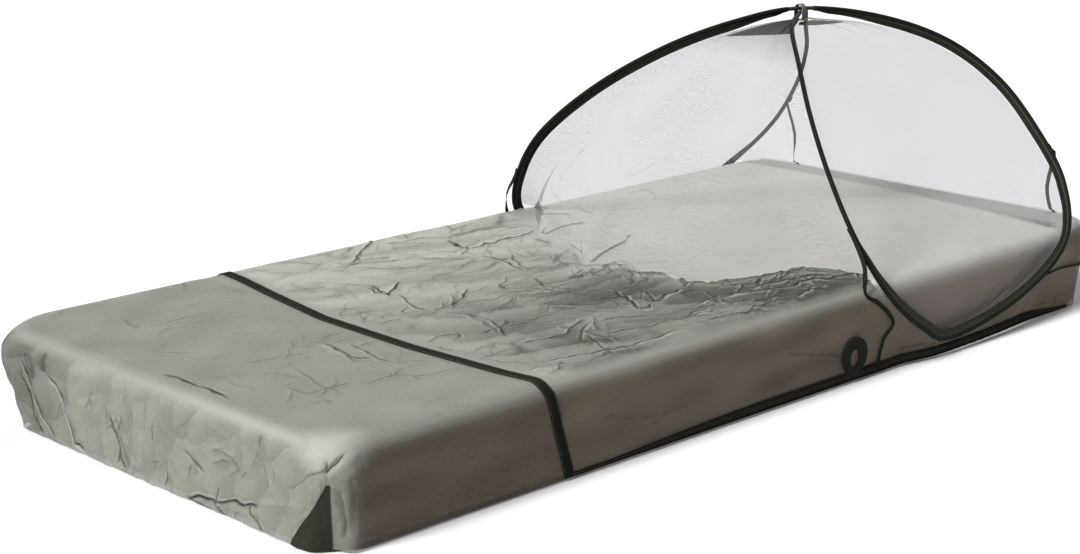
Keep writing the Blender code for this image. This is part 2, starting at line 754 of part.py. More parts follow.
def build_dome(collection):
    sides = UPPER_SHARES + LOWER_SHARES
    build_panel(collection, "dome_near_side", lambda *place: side_panel(-1, *place), sides,
                SIDE_STEPS)
    build_panel(collection, "dome_far_side", lambda *place: side_panel(1, *place), sides,
                SIDE_STEPS)
    build_panel(collection, "dome_front", lambda *place: end_panel("foot", *place),
                UPPER_SHARES, ACROSS_STEPS, END_PANEL_LOW_INSET)
    build_panel(collection, "dome_head", lambda *place: end_panel("head", *place),
                UPPER_SHARES, ACROSS_STEPS, END_PANEL_LOW_INSET)


# ---- sleeves, rods and trims ------------------------------------------------------------------


def fin_width(step):
    down = steps_from_top(step) / STEPS_DOWN
    return mix(FIN_WIDTH_AT_TOP, FIN_WIDTH, smooth_step((down - 0.05) / 0.10))


def sleeve_section(step):
    """Bead round the rod with its flat fin inward, as a closed ring of points."""
    centre, ahead, inward = hoop_frame(step)
    across = ahead.cross(inward).normalized()
    half = 0.5 * FIN_THICKNESS
    root = math.sqrt(BEAD_RADIUS ** 2 - half ** 2)
    ring = [(fin_width(step), -half), (fin_width(step), half), (root, half)]
    for angle in (60, 120, 180, 240, 300):
        turn = math.radians(angle)
        ring.append((BEAD_RADIUS * math.cos(turn), BEAD_RADIUS * math.sin(turn)))
    ring.append((root, -half))
    return [centre + inward * a + across * b for a, b in ring]


def build_sleeve(collection, name, side):
    """One loop's sleeve, from near the crossing round the loop and back to it."""
    bm = bmesh.new()
    rings = [[bm.verts.new(point) for point in sleeve_section(step)]
             for step in sleeve_steps(side)]
    for ring, following in zip(rings, rings[1:]):
        for i in range(len(ring)):
            j = (i + 1) % len(ring)
            bm.faces.new((ring[i], ring[j], following[j], following[i]))
    bm.faces.new(rings[0])
    bm.faces.new(rings[-1])
    bmesh.ops.recalc_face_normals(bm, faces=bm.faces)
    return add_object(collection, name, mesh_from(bm, name), "trim")


def build_rod(collection, name, middle_step):
    """The bare stretch of rod where the hoop crosses itself."""
    curve = bpy.data.curves.new(name, "CURVE")
    curve.dimensions = "3D"
    curve.bevel_depth = ROD_RADIUS
    curve.bevel_resolution = 2
    curve.use_fill_caps = True
    spline = curve.splines.new("POLY")
    reach = BARE_ROD_STEPS - 0.004
    count = 9
    spline.points.add(count - 1)
    for i in range(count):
        point = hoop_point(middle_step - reach + 2.0 * reach * i / (count - 1))
        spline.points[i].co = (*point, 1.0)
    return curve_to_solid(collection, name, curve, "rod")


def curve_to_solid(collection, name, curve, material_name, matrix=None):
    guide = bpy.data.objects.new(name + "_guide", curve)
    collection.objects.link(guide)
    bpy.context.view_layer.update()
    evaluated = guide.evaluated_get(bpy.context.evaluated_depsgraph_get())
    mesh = bpy.data.meshes.new_from_object(evaluated)
    bpy.data.objects.remove(guide, do_unlink=True)
    bm = bmesh.new()
    bm.from_mesh(mesh)
    if matrix:
        bm.transform(matrix)
    bmesh.ops.remove_doubles(bm, verts=bm.verts, dist=1e-6)
    bmesh.ops.recalc_face_normals(bm, faces=bm.faces)
    bm.to_mesh(mesh)
    bm.free()
    mesh.materials.clear()
    mesh.name = name
    mesh.shade_smooth()
    return add_object(collection, name, mesh, material_name)


# The two gussets: how far down their panels each one reaches at its two edges
FRONT_GUSSET_FAR = 0.22
FRONT_GUSSET_NEAR = 0.14
SIDE_GUSSET_HEAD = 0.11
SIDE_GUSSET_FOOT = 0.06
GUSSET_LIFT = 0.0016
GUSSET_THICKNESS = 0.001


def build_gusset(collection, name, panel, end_share, start_share, material_name):
    """A small patch over the top corner of a panel, from near the top down to two places."""
    rows = []
    for i in range(5):
        row = []
        for j in range(7):
            across = mix(0.06, 0.94, j / 6)
            lowest = mix(start_share, end_share, across)
            share = mix(0.030, lowest, i / 4)
            point = panel(share, across)
            lower = panel(share + 0.01, across) - point
            slope = lower.cross(panel(share, across + 0.01) - point).normalized()
            if slope.z < 0:
                slope = -slope
            row.append(point + slope * GUSSET_LIFT)
        rows.append(row)
    return add_sheet(collection, name, [rows], GUSSET_THICKNESS, (0.57, 0, 0.3), material_name)


TAB_HALF_LENGTH = 0.006
TAB_INNER_HALF_WIDTH = 0.0095
TAB_LOW = 0.5625
TAB_HIGH = 0.5935
TAB_THICKNESS = 0.0012


def build_tab(collection):
    """A loop of tape round both rods at their crossing."""
    half = TAB_INNER_HALF_WIDTH
    outline = [(half, TAB_LOW + half * 0.5), (half, TAB_HIGH - half)]
    for i in range(1, 6):
        turn = math.pi * i / 6
        outline.append((half * math.cos(turn), TAB_HIGH - half + half * math.sin(turn)))
    outline += [(-half, TAB_HIGH - half), (-half, TAB_LOW + half * 0.5)]
    outline += [(-half * 0.5, TAB_LOW), (half * 0.5, TAB_LOW)]
    outline.append(outline[0])
    middle = LEVELS[0].near_foot
    rows = [[Vector((middle + end * TAB_HALF_LENGTH, y, z)) for y, z in outline]
            for end in (-1, 0, 1)]
    tab = add_sheet(collection, "apex_tab", [rows], TAB_THICKNESS, (middle, 0, 0.578), "tab_tape")
    tab.modifiers["Thickness"].offset = 1.0
    return tab


def build_cross_strap(collection):
    path = [(COVER_HALF_WIDTH, z) for z in SIDE_HEIGHTS]
    path += [(y, COVER_TOP) for y in reversed(WIDTH_STATIONS)]
    path += [(-COVER_HALF_WIDTH, z) for z in reversed(SIDE_HEIGHTS)]
    lift = SEWING_GAP + STRAP_THICKNESS
    rows = [[drape(STRAP_MEAN + offset, y, z, lift) for y, z in path]
            for offset in (-STRAP_HALF_WIDTH, 0.0, STRAP_HALF_WIDTH)]
    return add_sheet(collection, "cross_strap", [rows], STRAP_THICKNESS, (-0.57, 0, 0), "trim")


HEM_TAPE_THICKNESS = 0.001
HEM_TAPE_GAP = 0.0009
HEM_TAPE_START = STRAP_MEAN + 0.075
HEM_TAPE_END = 0.880


def build_hem_tape(collection, name, side):
    stations = spread(STRAP_MEAN + STRAP_HALF_WIDTH, 0.26, CLOTH_STATION)
    stations += spread(0.26, COVER_HALF_LENGTH - EDGE_STATIONS[-1], FAR_STATION)[1:]
    stations = [value for value in stations if HEM_TAPE_START < value < HEM_TAPE_END]
    lift = HEM_TAPE_GAP + HEM_TAPE_THICKNESS
    rows = [[drape(x, side * COVER_HALF_WIDTH, z, lift) for x in stations]
            for z in (HEM_HEIGHT, HEM_TOP)]
    return add_sheet(collection, name, [rows], HEM_TAPE_THICKNESS, (0, 0, 0.01), "trim")


CORNER_PATCH_TOP = 0.106
CORNER_PATCH_LEFT = -0.366
CORNER_PATCH_LIFT = 0.0022


def build_corner_patch(collection):
    """The dark triangle let in at the near foot corner, point up."""
    rows = []
    for i in range(6):
        height = mix(HEM_HEIGHT, CORNER_PATCH_TOP, i / 5)
        left = mix(CORNER_PATCH_LEFT, -0.446, i / 5)
        row = []
        for j in range(6):
            y = mix(left, -COVER_HALF_WIDTH, j / 5)
            row.append(drape(-COVER_HALF_LENGTH, y, height, CORNER_PATCH_LIFT))
        rows.append(row)
    return add_sheet(collection, "corner_patch", [rows], 0.001, (-0.8, -0.3, 0.08), "trim")


def curve_between(spots, index, share):
    before = spots[max(0, index - 1)]
    start = spots[index]
    end = spots[index + 1]
    after = spots[min(len(spots) - 1, index + 2)]
    return 0.5 * (
        2.0 * start
        + (end - before) * share
        + (2.0 * before - 5.0 * start + 4.0 * end - after) * share ** 2
        + (3.0 * (start - end) + after - before) * share ** 3
    )


def build_ribbon(collection, name, spots, width, thickness, material_name):
    """A narrow tape through a few places; each spot has a point and the way its face looks."""
    points = [Vector(point) for point, _ in spots]
    facings = [Vector(facing) for _, facing in spots]
    smooth = []
    looks = []
    for i in range(len(points) - 1):
        for j in range(3):
            smooth.append(curve_between(points, i, j / 3))
            looks.append(facings[i].lerp(facings[i + 1], j / 3).normalized())
    smooth.append(points[-1])
    looks.append(facings[-1].normalized())
    rows = []
    for i, spot in enumerate(smooth):
        along = (smooth[min(i + 1, len(smooth) - 1)] - smooth[max(i - 1, 0)]).normalized()
        sideways = along.cross(looks[i]).normalized() * 0.5 * width
        rows.append([spot - sideways, spot + sideways])
    middle = len(smooth) // 2
    behind = smooth[middle] - looks[middle]
    return add_sheet(collection, name, [rows], thickness, behind, material_name)


def on_cover(x, y, z, lift):
    """A tape's place on the cover, from a place on the plain box, and the way it faces."""
    place = drape(x, y, z, lift)
    return place, (place - drape(x, y, z, lift - 0.01)).normalized()


def strand_at_height(strand, height):
    """Step on the hoop where a strand passes a height."""
    low = 0.1
    high = 1.0
    for _ in range(30):
        middle = 0.5 * (low + high)
        if hoop_point(strand_step(strand, middle)).z > height:
            low = middle
        else:
            high = middle
    return strand_step(strand, low)


def beside_strand(strand, height, way, gap=TIE_GAP):
    """A tape's place flat against a sleeve's bead at a height, on the side `way`."""
    centre, ahead, _ = hoop_frame(strand_at_height(strand, height))
    out = Vector(way)
    out = (out - ahead * out.dot(ahead)).normalized()
    return centre + out * (BEAD_RADIUS + gap + TIE_THICKNESS), out


def strand_x(strand, height):
    return hoop_point(strand_at_height(strand, height)).x


def build_foot_tie(collection, side, word):
    """From the foot strand, over the cover's edge, down its side to the hem."""
    strand = word + "_foot"
    spots = [beside_strand(strand, height, (-1.0, side * 0.2, 0.0))
             for height in FOOT_TIE_ON_STRAND]
    leaves = FOOT_TIE_LEAVES
    reach = FOOT_TIE_REACH[side]
    x = strand_x(strand, leaves.height) - leaves.behind * reach
    spots.append((Vector((x, side * FOOT_TIE_OUT, leaves.height)), Vector((-1.0, side * 0.6, 0.2))))
    for spot in FOOT_TIE_ON_SIDE:
        x = strand_x(strand, spot.height) - spot.behind * reach
        spots.append(on_cover(x, side * COVER_HALF_WIDTH, spot.height, TIE_LIFT))
    for spot in FOOT_TIE_END:
        spots.append(on_cover(spot.along, side * COVER_HALF_WIDTH, spot.height, TIE_LIFT))
    return build_ribbon(collection, strand + "_tie", spots, TIE_WIDTH, TIE_THICKNESS, "trim")


def build_head_tie(collection, side, word):
    """From the head strand, over the edge of the top and down the head face to the hem."""
    strand = word + "_head"
    spots = [beside_strand(strand, height, (1.0, side * -0.3, 0.0), HEAD_TIE_GAPS[side])
             for height in HEAD_TIE_ON_STRAND]
    leaves = HEAD_TIE_LEAVES
    place = (strand_x(strand, leaves.height) - leaves.behind, side * HEAD_TIE_OUT, leaves.height)
    spots.append((Vector(place), Vector((1.0, 0.0, 0.3))))
    across = side * HEAD_TIE_ACROSS
    for x in (HEAD_TIE_EDGE_START, COVER_HALF_LENGTH):
        spots.append(on_cover(x, across, COVER_TOP, TIE_EDGE_LIFT))
    for height in HEAD_TIE_ON_FACE:
        spots.append(on_cover(COVER_HALF_LENGTH, across, height, TIE_LIFT))
    return build_ribbon(collection, strand + "_tie", spots, TIE_WIDTH, TIE_THICKNESS, "trim")


def build_ties(collection):
    """Four tapes that hold the loops down."""
    for side, word in ((-1, "near"), (1, "far")):
        build_foot_tie(collection, side, word)
        build_head_tie(collection, side, word)


def build_corner_tape(collection):
    """A narrow tape round the near head corner, from the loop's bead to the head face."""
    start = beside_strand("near_head", CORNER_TAPE_START, (1.0, 0.0, 0.3))[0]
    spots = [(start + Vector((0.001, 0.0, 0.0)), Vector((0.2, -1.0, 0.0)))]
    spots += [on_cover(*spot) for spot in CORNER_TAPE_SPOTS]
    return build_ribbon(collection, "corner_tape", spots, CORNER_TAPE_WIDTH, TIE_THICKNESS, "trim")


def build_side_loop(collection):
    """A flat loop of webbing sewn on the near hem tape, its eye open."""
    curve = bpy.data.curves.new("side_loop", "CURVE")
    curve.dimensions = "2D"
    curve.fill_mode = "BOTH"
    curve.extrude = 0.5 * SIDE_LOOP_THICKNESS
    for half_width, half_height, rise in (SIDE_LOOP_OUTER, SIDE_LOOP_EYE):
        spline = curve.splines.new("POLY")
        spline.use_cyclic_u = True
        count = 20
        spline.points.add(count - 1)
        for i in range(count):
            turn = 2.0 * math.pi * i / count
            spline.points[i].co = (half_width * math.cos(turn),
                                   half_height * math.sin(turn) + rise, 0.0, 1.0)
    tape_face = COVER_HALF_WIDTH + HEM_TAPE_GAP + HEM_TAPE_THICKNESS
    depth = -tape_face - SEWING_GAP - 0.5 * SIDE_LOOP_THICKNESS
    place = Matrix.Translation((SIDE_LOOP_X, depth, 0.0)) @ Matrix.Rotation(math.pi / 2, 4, "X")
    return curve_to_solid(collection, "side_loop", curve, "trim", place)


def main():
    clear_scene()
    parts = new_collection("mosquito_net_canopy")
    cutters = new_collection("cutters")
    build_mattress(parts)
    build_foot_cover(parts)
    build_bed_cover(parts, build_cutters(cutters))
    build_cross_strap(parts)
    build_dome(parts)
    build_sleeve(parts, "near_sleeve", -1)
    build_sleeve(parts, "far_sleeve", 1)
    build_rod(parts, "rod_upper", 0)
    build_rod(parts, "rod_lower", 2 * STEPS_DOWN)
    build_tab(parts)
    build_gusset(parts, "front_gusset", lambda *place: end_panel("foot", *place),
                 FRONT_GUSSET_FAR, FRONT_GUSSET_NEAR, "trim")
    build_gusset(parts, "side_gusset", lambda *place: side_panel(-1, *place),
                 SIDE_GUSSET_HEAD, SIDE_GUSSET_FOOT, "tab_tape")
    build_hem_tape(parts, "near_hem_tape", -1)
    build_hem_tape(parts, "far_hem_tape", 1)
    build_corner_patch(parts)
    build_ties(parts)
    build_corner_tape(parts)
    build_side_loop(parts)


main()
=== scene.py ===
import math
import bpy
import bmesh
import numpy as np
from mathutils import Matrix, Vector


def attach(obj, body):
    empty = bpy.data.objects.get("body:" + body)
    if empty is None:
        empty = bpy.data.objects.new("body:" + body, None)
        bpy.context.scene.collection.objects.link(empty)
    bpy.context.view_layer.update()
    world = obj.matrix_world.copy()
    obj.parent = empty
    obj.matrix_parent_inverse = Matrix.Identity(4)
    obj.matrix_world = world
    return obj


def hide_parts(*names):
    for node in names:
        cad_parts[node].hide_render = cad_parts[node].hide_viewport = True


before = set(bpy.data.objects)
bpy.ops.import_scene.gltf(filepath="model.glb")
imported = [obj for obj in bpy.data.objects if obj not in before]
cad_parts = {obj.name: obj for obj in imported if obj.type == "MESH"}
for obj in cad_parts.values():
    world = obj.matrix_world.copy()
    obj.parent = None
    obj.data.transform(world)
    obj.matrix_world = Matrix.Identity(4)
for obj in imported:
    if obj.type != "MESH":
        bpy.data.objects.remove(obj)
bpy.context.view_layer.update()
print("frame loaded:", len(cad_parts), "nodes")

# camera, light and floor

camera = {
    "place": (-2.76853, -2.67609, 1.16381),
    "azimuth": -44.4178,       # degrees, 0 looks along +Y
    "lookDown": 14.8513,
    "lens": 71.97,
    "sensor": 36.0,
}
studio = {
    "sky": (1.0, 0.985, 0.96), "skyStrength": 0.14,
    "sunFrom": (-0.75, 0.02, 0.65), "sunWidth": 18.0, "sunStrength": 6.3, "sunColour": (1.0, 1.0, 0.985),
    "fillFrom": (0.70, 0.25, 0.60), "fillWidth": 50.0, "fillStrength": 1.3,
    "floor": "D6D6D8", "floorHalf": 30.0,
}


def linear(hexColour):
    # sRGB hex to the linear colour that the shaders take
    values = []
    for i in (0, 2, 4):
        value = int(hexColour[i:i + 2], 16) / 255.0
        values.append(value / 12.92 if value <= 0.04045 else ((value + 0.055) / 1.055) ** 2.4)
    return (*values, 1.0)


def fillIn(tree, node, inputs):
    # a node's inputs as links, sRGB hex colours or values
    for name, value in inputs.items():
        socket = node.inputs[name]
        if isinstance(value, bpy.types.NodeSocket):
            tree.links.new(value, socket)
        else:
            socket.default_value = linear(value) if isinstance(value, str) else value


def addNode(tree, kind, settings=None, inputs=None, out=0):
    # one node of a tree, a shader node unless its kind says more; gives an output, or with None the node itself
    made = tree.nodes.new(kind if kind.startswith(("Geometry", "Function")) else "ShaderNode" + kind)
    for name, value in (settings or {}).items():
        setattr(made, name, value)
    fillIn(tree, made, inputs or {})
    return made if out is None else made.outputs[out]


# settings that many nodes share
times, timesPlus = {"operation": "MULTIPLY"}, {"operation": "MULTIPLY_ADD"}
timesPlusHeld = {"operation": "MULTIPLY_ADD", "use_clamp": True}
colourMix, colourTimes = {"data_type": "RGBA"}, {"data_type": "RGBA", "blend_type": "MULTIPLY"}
softRange = {"interpolation_type": "SMOOTHSTEP"}


def newMaterial(name):
    material = bpy.data.materials.new(name)
    material.use_nodes = True
    tree = material.node_tree
    return material, tree, tree.nodes["Principled BSDF"]


def makeStudio():
    lens = bpy.data.cameras.new("camera")
    lens.lens = camera["lens"]
    lens.sensor_width = camera["sensor"]
    lens.sensor_fit = "HORIZONTAL"
    lens.clip_end = 200.0
    view = bpy.data.objects.new("camera", lens)
    bpy.context.scene.collection.objects.link(view)
    view.location = camera["place"]
    view.rotation_euler = (math.radians(90.0 - camera["lookDown"]), 0.0, math.radians(camera["azimuth"]))
    bpy.context.scene.camera = view
    bpy.context.scene.view_settings.view_transform = "Standard"

    world = bpy.data.worlds.new("studio")
    world.use_nodes = True
    sky = world.node_tree.nodes["Background"]
    sky.inputs["Color"].default_value = (*studio["sky"], 1.0)
    sky.inputs["Strength"].default_value = studio["skyStrength"]
    bpy.context.scene.world = world
    # a very wide, soft light from beyond the foot end, and a weak one from beyond the head
    for name in ("sun", "fill"):
        light = bpy.data.lights.new(name + "Light", "SUN")
        light.angle = math.radians(studio[name + "Width"])
        light.energy = studio[name + "Strength"]
        light.color = studio["sunColour"]
        lamp = bpy.data.objects.new(name + "Light", light)
        bpy.context.scene.collection.objects.link(lamp)
        lamp.location = Vector(studio[name + "From"]) * 5.0
        lamp.rotation_euler = Vector(studio[name + "From"]).to_track_quat("Z", "Y").to_euler()

    material, tree, shader = newMaterial("paintedFloor")   # matt white studio paint
    fillIn(tree, shader, {"Base Color": studio["floor"], "Roughness": 0.9, "Specular IOR Level": 0.1})
    half = studio["floorHalf"]
    mesh = bpy.data.meshes.new("floor")
    mesh.from_pydata([(-half, -half, -0.001), (half, -half, -0.001),
                      (half, half, -0.001), (-half, half, -0.001)], [], [(0, 1, 2, 3)])
    mesh.materials.append(material)
    floor = bpy.data.objects.new("floor", mesh)
    bpy.context.scene.collection.objects.link(floor)


makeStudio()
print("camera, lights and floor made")

# the bed, the fitted cover's sizes and the hoop, in metres

bed = {
    "halfLength": 1.000, "halfWidth": 0.450, "top": 0.1675, "edge": 0.030,
    "hem": 0.004, "hemTop": 0.022,
    # corners by end and side: radius in plan, how far the hem is drawn in, how far the middle stands out
    "corners": {(-1, -1): (0.055, 0.018, 0.000), (-1, 1): (0.110, 0.055, 0.025),
                (1, -1): (0.100, 0.050, 0.004), (1, 1): (0.100, 0.050, 0.004)},
}
halfLength, halfWidth = bed["halfLength"], bed["halfWidth"]
hoop = {
    # height, half-width, and along the bed: near foot, near head, far foot, far head strands
    "levels": ((0.581, 0.000, 0.572, 0.572, 0.572, 0.572),
               (0.564, 0.071, 0.460, 0.722, 0.464, 0.678),
               (0.515, 0.159, 0.374, 0.836, 0.356, 0.790),
               (0.439, 0.246, 0.303, 0.902, 0.247, 0.904),
               (0.344, 0.330, 0.258, 0.923, 0.178, 0.977),
               (0.243, 0.404, 0.245, 0.919, 0.185, 0.985),
               (0.146, 0.462, 0.272, 0.844, 0.244, 0.898),
               (0.068, 0.469, 0.370, 0.689, 0.368, 0.735),
               (0.030, 0.467, 0.468, 0.468, 0.510, 0.510)),
    # half the strands' distance at the crossing, the bead's radius, the bare stretch and the fin's sizes
    "crossingLift": 0.0043, "bead": 0.0045, "bareSteps": 0.18, "finAtEnd": 0.0048,
    "fin": 0.0168, "finAtTop": 0.0105, "finThickness": 0.0014, "seam": 0.0178,
    "base": 0.1678,
    "aim": (0.57, 0.45, 0.22),      # what the fins point at: along the bed, off its middle low down, height
}
stepsDown = len(hoop["levels"]) - 1
hoopSteps = 4 * stepsDown


def smooth(value):
    value = np.clip(value, 0.0, 1.0)
    return value * value * (3.0 - 2.0 * value)


def mix(start, end, amount):
    return start + (end - start) * amount


def unit(vectors):
    return vectors / np.maximum(np.linalg.norm(vectors, axis=-1, keepdims=True), 1e-9)


def hoopRoute(lift):
    points = []
    for side, head, foot, raised in ((-1, 3, 2, lift), (1, 5, 4, -lift)):
        for i, level in enumerate(hoop["levels"]):
            points.append((level[head], side * level[1], level[0] + (raised if i == 0 else 0.0)))
        for level in reversed(hoop["levels"][1:-1]):
            points.append((level[foot], side * level[1], level[0]))
    return np.array(points)


liftedRoute = hoopRoute(hoop["crossingLift"])
levelRoute = hoopRoute(0.0)


def hoopPoint(step, route=liftedRoute):
    # a smooth curve through the hoop's places, one step for each place
    step = np.asarray(step, float)
    index = np.floor(step).astype(int)
    share = (step - index)[..., None]
    before, start, end, after = (route[(index + k) % hoopSteps] for k in (-1, 0, 1, 2))
    return 0.5 * (2.0 * start + (end - before) * share
                  + (2.0 * before - 5.0 * start + 4.0 * end - after) * share ** 2
                  + (3.0 * (start - end) + after - before) * share ** 3)


def strandStep(strand, down):
    # step on the hoop of a strand's place, from 0 at the top to 1 at the lowest point
    first, sign = {"nearHead": (0, 1), "nearFoot": (2, -1), "farHead": (2, 1), "farFoot": (4, -1)}[strand]
    return first * stepsDown + sign * np.asarray(down, float) * stepsDown


def hoopFrame(step, route=liftedRoute):
    # centre of the hoop, its direction, and the way into the loop or under the arch
    step = np.asarray(step, float)
    centre = hoopPoint(step, route)
    ahead = unit(hoopPoint(step + 0.02, route) - hoopPoint(step - 0.02, route))
    down = np.abs((step + stepsDown) % (2 * stepsDown) - stepsDown) / stepsDown
    side = np.where(centre[..., 1] < 0, -1.0, 1.0)
    along, off, high = hoop["aim"]
    aim = np.stack([np.full_like(down, along), side * off * smooth((down - 0.45) / 0.35),
                    np.full_like(down, high)], axis=-1)
    inward = aim - centre
    inward = unit(inward - ahead * np.sum(inward * ahead, axis=-1, keepdims=True))
    return centre, ahead, inward, down


def seamPoint(strand, down):
    # where the dome's panels meet, just inside the sleeve's fin
    down = np.asarray(down, float)
    centre, _, inward, _ = hoopFrame(strandStep(strand, down), levelRoute)
    point = centre + inward * hoop["seam"]
    top = np.array([hoop["levels"][0][2], 0.0, hoop["levels"][0][0] - hoop["seam"]])
    return np.where((down < 1e-9)[..., None], top, point)


def downAtHeight(strand, height):
    low, high = 0.4, 1.0
    for _ in range(30):
        middle = 0.5 * (low + high)
        if seamPoint(strand, middle)[2] > height:
            low = middle
        else:
            high = middle
    return 0.5 * (low + high)


endStrands = {"foot": ("nearFoot", "farFoot"), "head": ("nearHead", "farHead")}
baseDown = {strand: downAtHeight(strand, hoop["base"]) for pair in endStrands.values() for strand in pair}


def panelDown(strand, share):
    # strand place for a share: 0 the top, 1 the bed's surface, 2 the lowest point
    base = baseDown[strand]
    share = np.asarray(share, float)
    return np.where(share <= 1.0, base * share, base + (1.0 - base) * (share - 1.0))


# the fitted cover's surface

apron = np.array([(-0.36, 0.285), (-0.30, 0.240), (-0.25, 0.060), (-0.20, 0.020), (-0.15, 0.040),
                  (-0.10, 0.000), (-0.05, 0.045), (0.00, -0.025), (0.07, 0.030), (0.15, 0.080),
                  (0.24, 0.085), (0.33, 0.175)])          # across the bed, and reach along it
strap = {
    # its line over the top, across and along the bed; how far it leans along the bed down the sides, and how
    # far from it the cover's mesh follows it
    "line": np.array([(-0.45, -0.572), (-0.36, -0.584), (-0.27, -0.589), (-0.16, -0.595), (-0.08, -0.593),
                      (0.07, -0.589), (0.25, -0.558), (0.37, -0.534), (0.45, -0.524)]),
    "mean": -0.575, "halfWidth": 0.0105, "slant": 0.30, "zone": 0.35, "thickness": 0.0012,
    "lift": 0.0006,
}


def apronAt(y):
    return np.interp(y, apron[:, 0], apron[:, 1])


def strapAt(y, z):
    return np.interp(y, strap["line"][:, 0], strap["line"][:, 1]) + strap["slant"] * (bed["top"] - z)


def loopOutline(side):
    start = 0 if side < 0 else 2 * stepsDown
    points = hoopPoint(start + np.linspace(4.5, 2 * stepsDown - 4.5, 61))
    return points[:, 0], points[:, 2], np.abs(points[:, 1])


def insidePolygon(px, py, x, y):
    inside = np.zeros(np.shape(x), bool)
    for x0, y0, x1, y1 in zip(px, py, np.roll(px, -1), np.roll(py, -1)):
        if y0 != y1:
            crosses = ((y0 > y) != (y1 > y)) & (x < x0 + (x1 - x0) * (y - y0) / (y1 - y0))
            inside ^= crosses
    return inside


def toPolyline(px, py, x, y, closed=True):
    # distance to a line of points, and the nearest place on it
    ends = (np.roll(px, -1), np.roll(py, -1)) if closed else (px[1:], py[1:])
    best = np.full(np.shape(x), 1e9)
    nearX, nearY = np.zeros_like(best), np.zeros_like(best)
    for x0, y0, x1, y1 in zip(px, py, *ends):
        length = max((x1 - x0) ** 2 + (y1 - y0) ** 2, 1e-12)
        share = np.clip(((x - x0) * (x1 - x0) + (y - y0) * (y1 - y0)) / length, 0.0, 1.0)
        placeX, placeY = x0 + share * (x1 - x0), y0 + share * (y1 - y0)
        away = np.hypot(x - placeX, y - placeY)
        nearer = away < best
        best = np.where(nearer, away, best)
        nearX, nearY = np.where(nearer, placeX, nearX), np.where(nearer, placeY, nearY)
    return best, nearX, nearY


def flareAt(x, z, side):
    # how far the hoop holds the cover's side off the mattress
    px, pz, reach = loopOutline(side)
    away = np.full(np.shape(x), 1e9)
    nearest = np.zeros(np.shape(x))
    for i in range(len(px)):
        distance = np.hypot(px[i] - x, pz[i] - z)
        nearest = np.where(distance < away, reach[i], nearest)
        away = np.minimum(away, distance)
    away = np.where(insidePolygon(px, pz, x, z), 0.0, away)
    return np.maximum(0.0, nearest - halfWidth) * np.maximum(0.0, 1.0 - away / 0.060)


def drape(x, y, z, lift, rise=None, held=True):
    # takes places on the plain box round the mattress to places on the fitted cover; rise is a
    # function of the draped place that adds the folds
    x, y, z = np.broadcast_arrays(*(np.asarray(value, float) for value in (x, y, z)))
    near = smooth(1.0 - np.abs(x - strap["mean"]) / strap["zone"])
    x = x + (strapAt(y, z) - strap["mean"]) * near
    onTop = z > bed["top"] - 1e-6
    onSide = np.abs(y) > halfWidth - 1e-6
    radius, tuck, bulge = (np.zeros_like(x) for _ in range(3))
    for (end, side), (r, t, b) in bed["corners"].items():
        here = (end * x >= 0) & (side * y >= 0)
        radius, tuck, bulge = np.where(here, r, radius), np.where(here, t, tuck), np.where(here, b, bulge)
    pastX = (np.abs(x) - halfLength + radius) / radius
    pastY = (np.abs(y) - halfWidth + radius) / radius
    inCorner = (pastX > 0) & (pastY > 0)
    reach = np.maximum(np.hypot(pastX, pastY), 1e-9)
    scale = np.where(inCorner, np.maximum(pastX, pastY) / reach, 1.0)
    pastX, pastY = pastX * scale, pastY * scale
    planX = np.copysign(halfLength - radius + pastX * radius, x)
    planY = np.copysign(halfWidth - radius + pastY * radius, y)
    reach = np.maximum(np.hypot(pastX, pastY), 1e-9)
    outX = np.where(inCorner, pastX / reach, pastX > pastY) * np.sign(x)
    outY = np.where(inCorner, pastY / reach, pastX <= pastY) * np.sign(y)
    inset = radius * (1.0 - np.where(inCorner, reach, np.maximum(pastX, pastY)))
    inset = np.maximum(inset, 0.0)
    edge = bed["edge"]
    topAngle = np.radians(45.0 + 45.0 * np.minimum(1.0, inset / edge))
    sideAngle = np.radians(45.0 * np.maximum(0.0, (z - bed["top"] + edge) / edge))
    angle = np.where(onTop, topAngle, sideAngle)
    bent = edge * (1.0 - np.cos(angle))
    newInset = np.where(onTop, np.where(inset < edge, bent, inset), bent)
    height = np.where(onTop | (sideAngle > 0), bed["top"] - edge * (1.0 - np.sin(angle)), z)
    lift = np.broadcast_to(np.asarray(lift, float), x.shape).copy()
    if rise is not None:
        folds = rise(planX + outX * (inset - newInset), planY + outY * (inset - newInset), height, onTop)
        # the cloth can sink only a little way toward the mattress
        lift += 0.0008 * np.logaddexp(0.0, (folds + 0.0012) / 0.0008) - 0.0012
    for side in (-1, 1):
        here = onSide & ~onTop & (np.sign(y) == side)
        if held and here.any():
            lift[here] += flareAt(x[here], np.maximum(height[here], bed["hemTop"]), side)
    share = height / bed["top"]
    drawn = (tuck * (1.0 - share) ** 3 - bulge * np.sin(math.pi * share)) * 4.0 * (outX * outY) ** 2
    shift = inset - newInset - drawn
    return np.stack([planX + outX * (shift + np.cos(angle) * lift),
                     planY + outY * (shift + np.cos(angle) * lift),
                     height + np.sin(angle) * lift], axis=-1)


# folds: each crease is a sharp crest with a trough beside it, along a few places. Its dark line, partly the
# doubled net and partly painted shade, and its bright side, a painted highlight, are kept as distances, so that they
# stay crisp between the mesh's places

foldLook = {
    "topReach": 0.0064, "sideReach": 0.0055, "frontReach": 0.0042, "warp": 0.0035,
    "lineShift": 0.12, "brightShift": 0.55, "brightShare": 0.66,
    # crumpled facets on top: size, steepness, seed, how many crests are dark, how strong their tones are
    "topFacets": ((0.110, 0.110, 61, 0.45, 0.30), (0.050, 0.075, 62, 0.34, 0.28)),
}


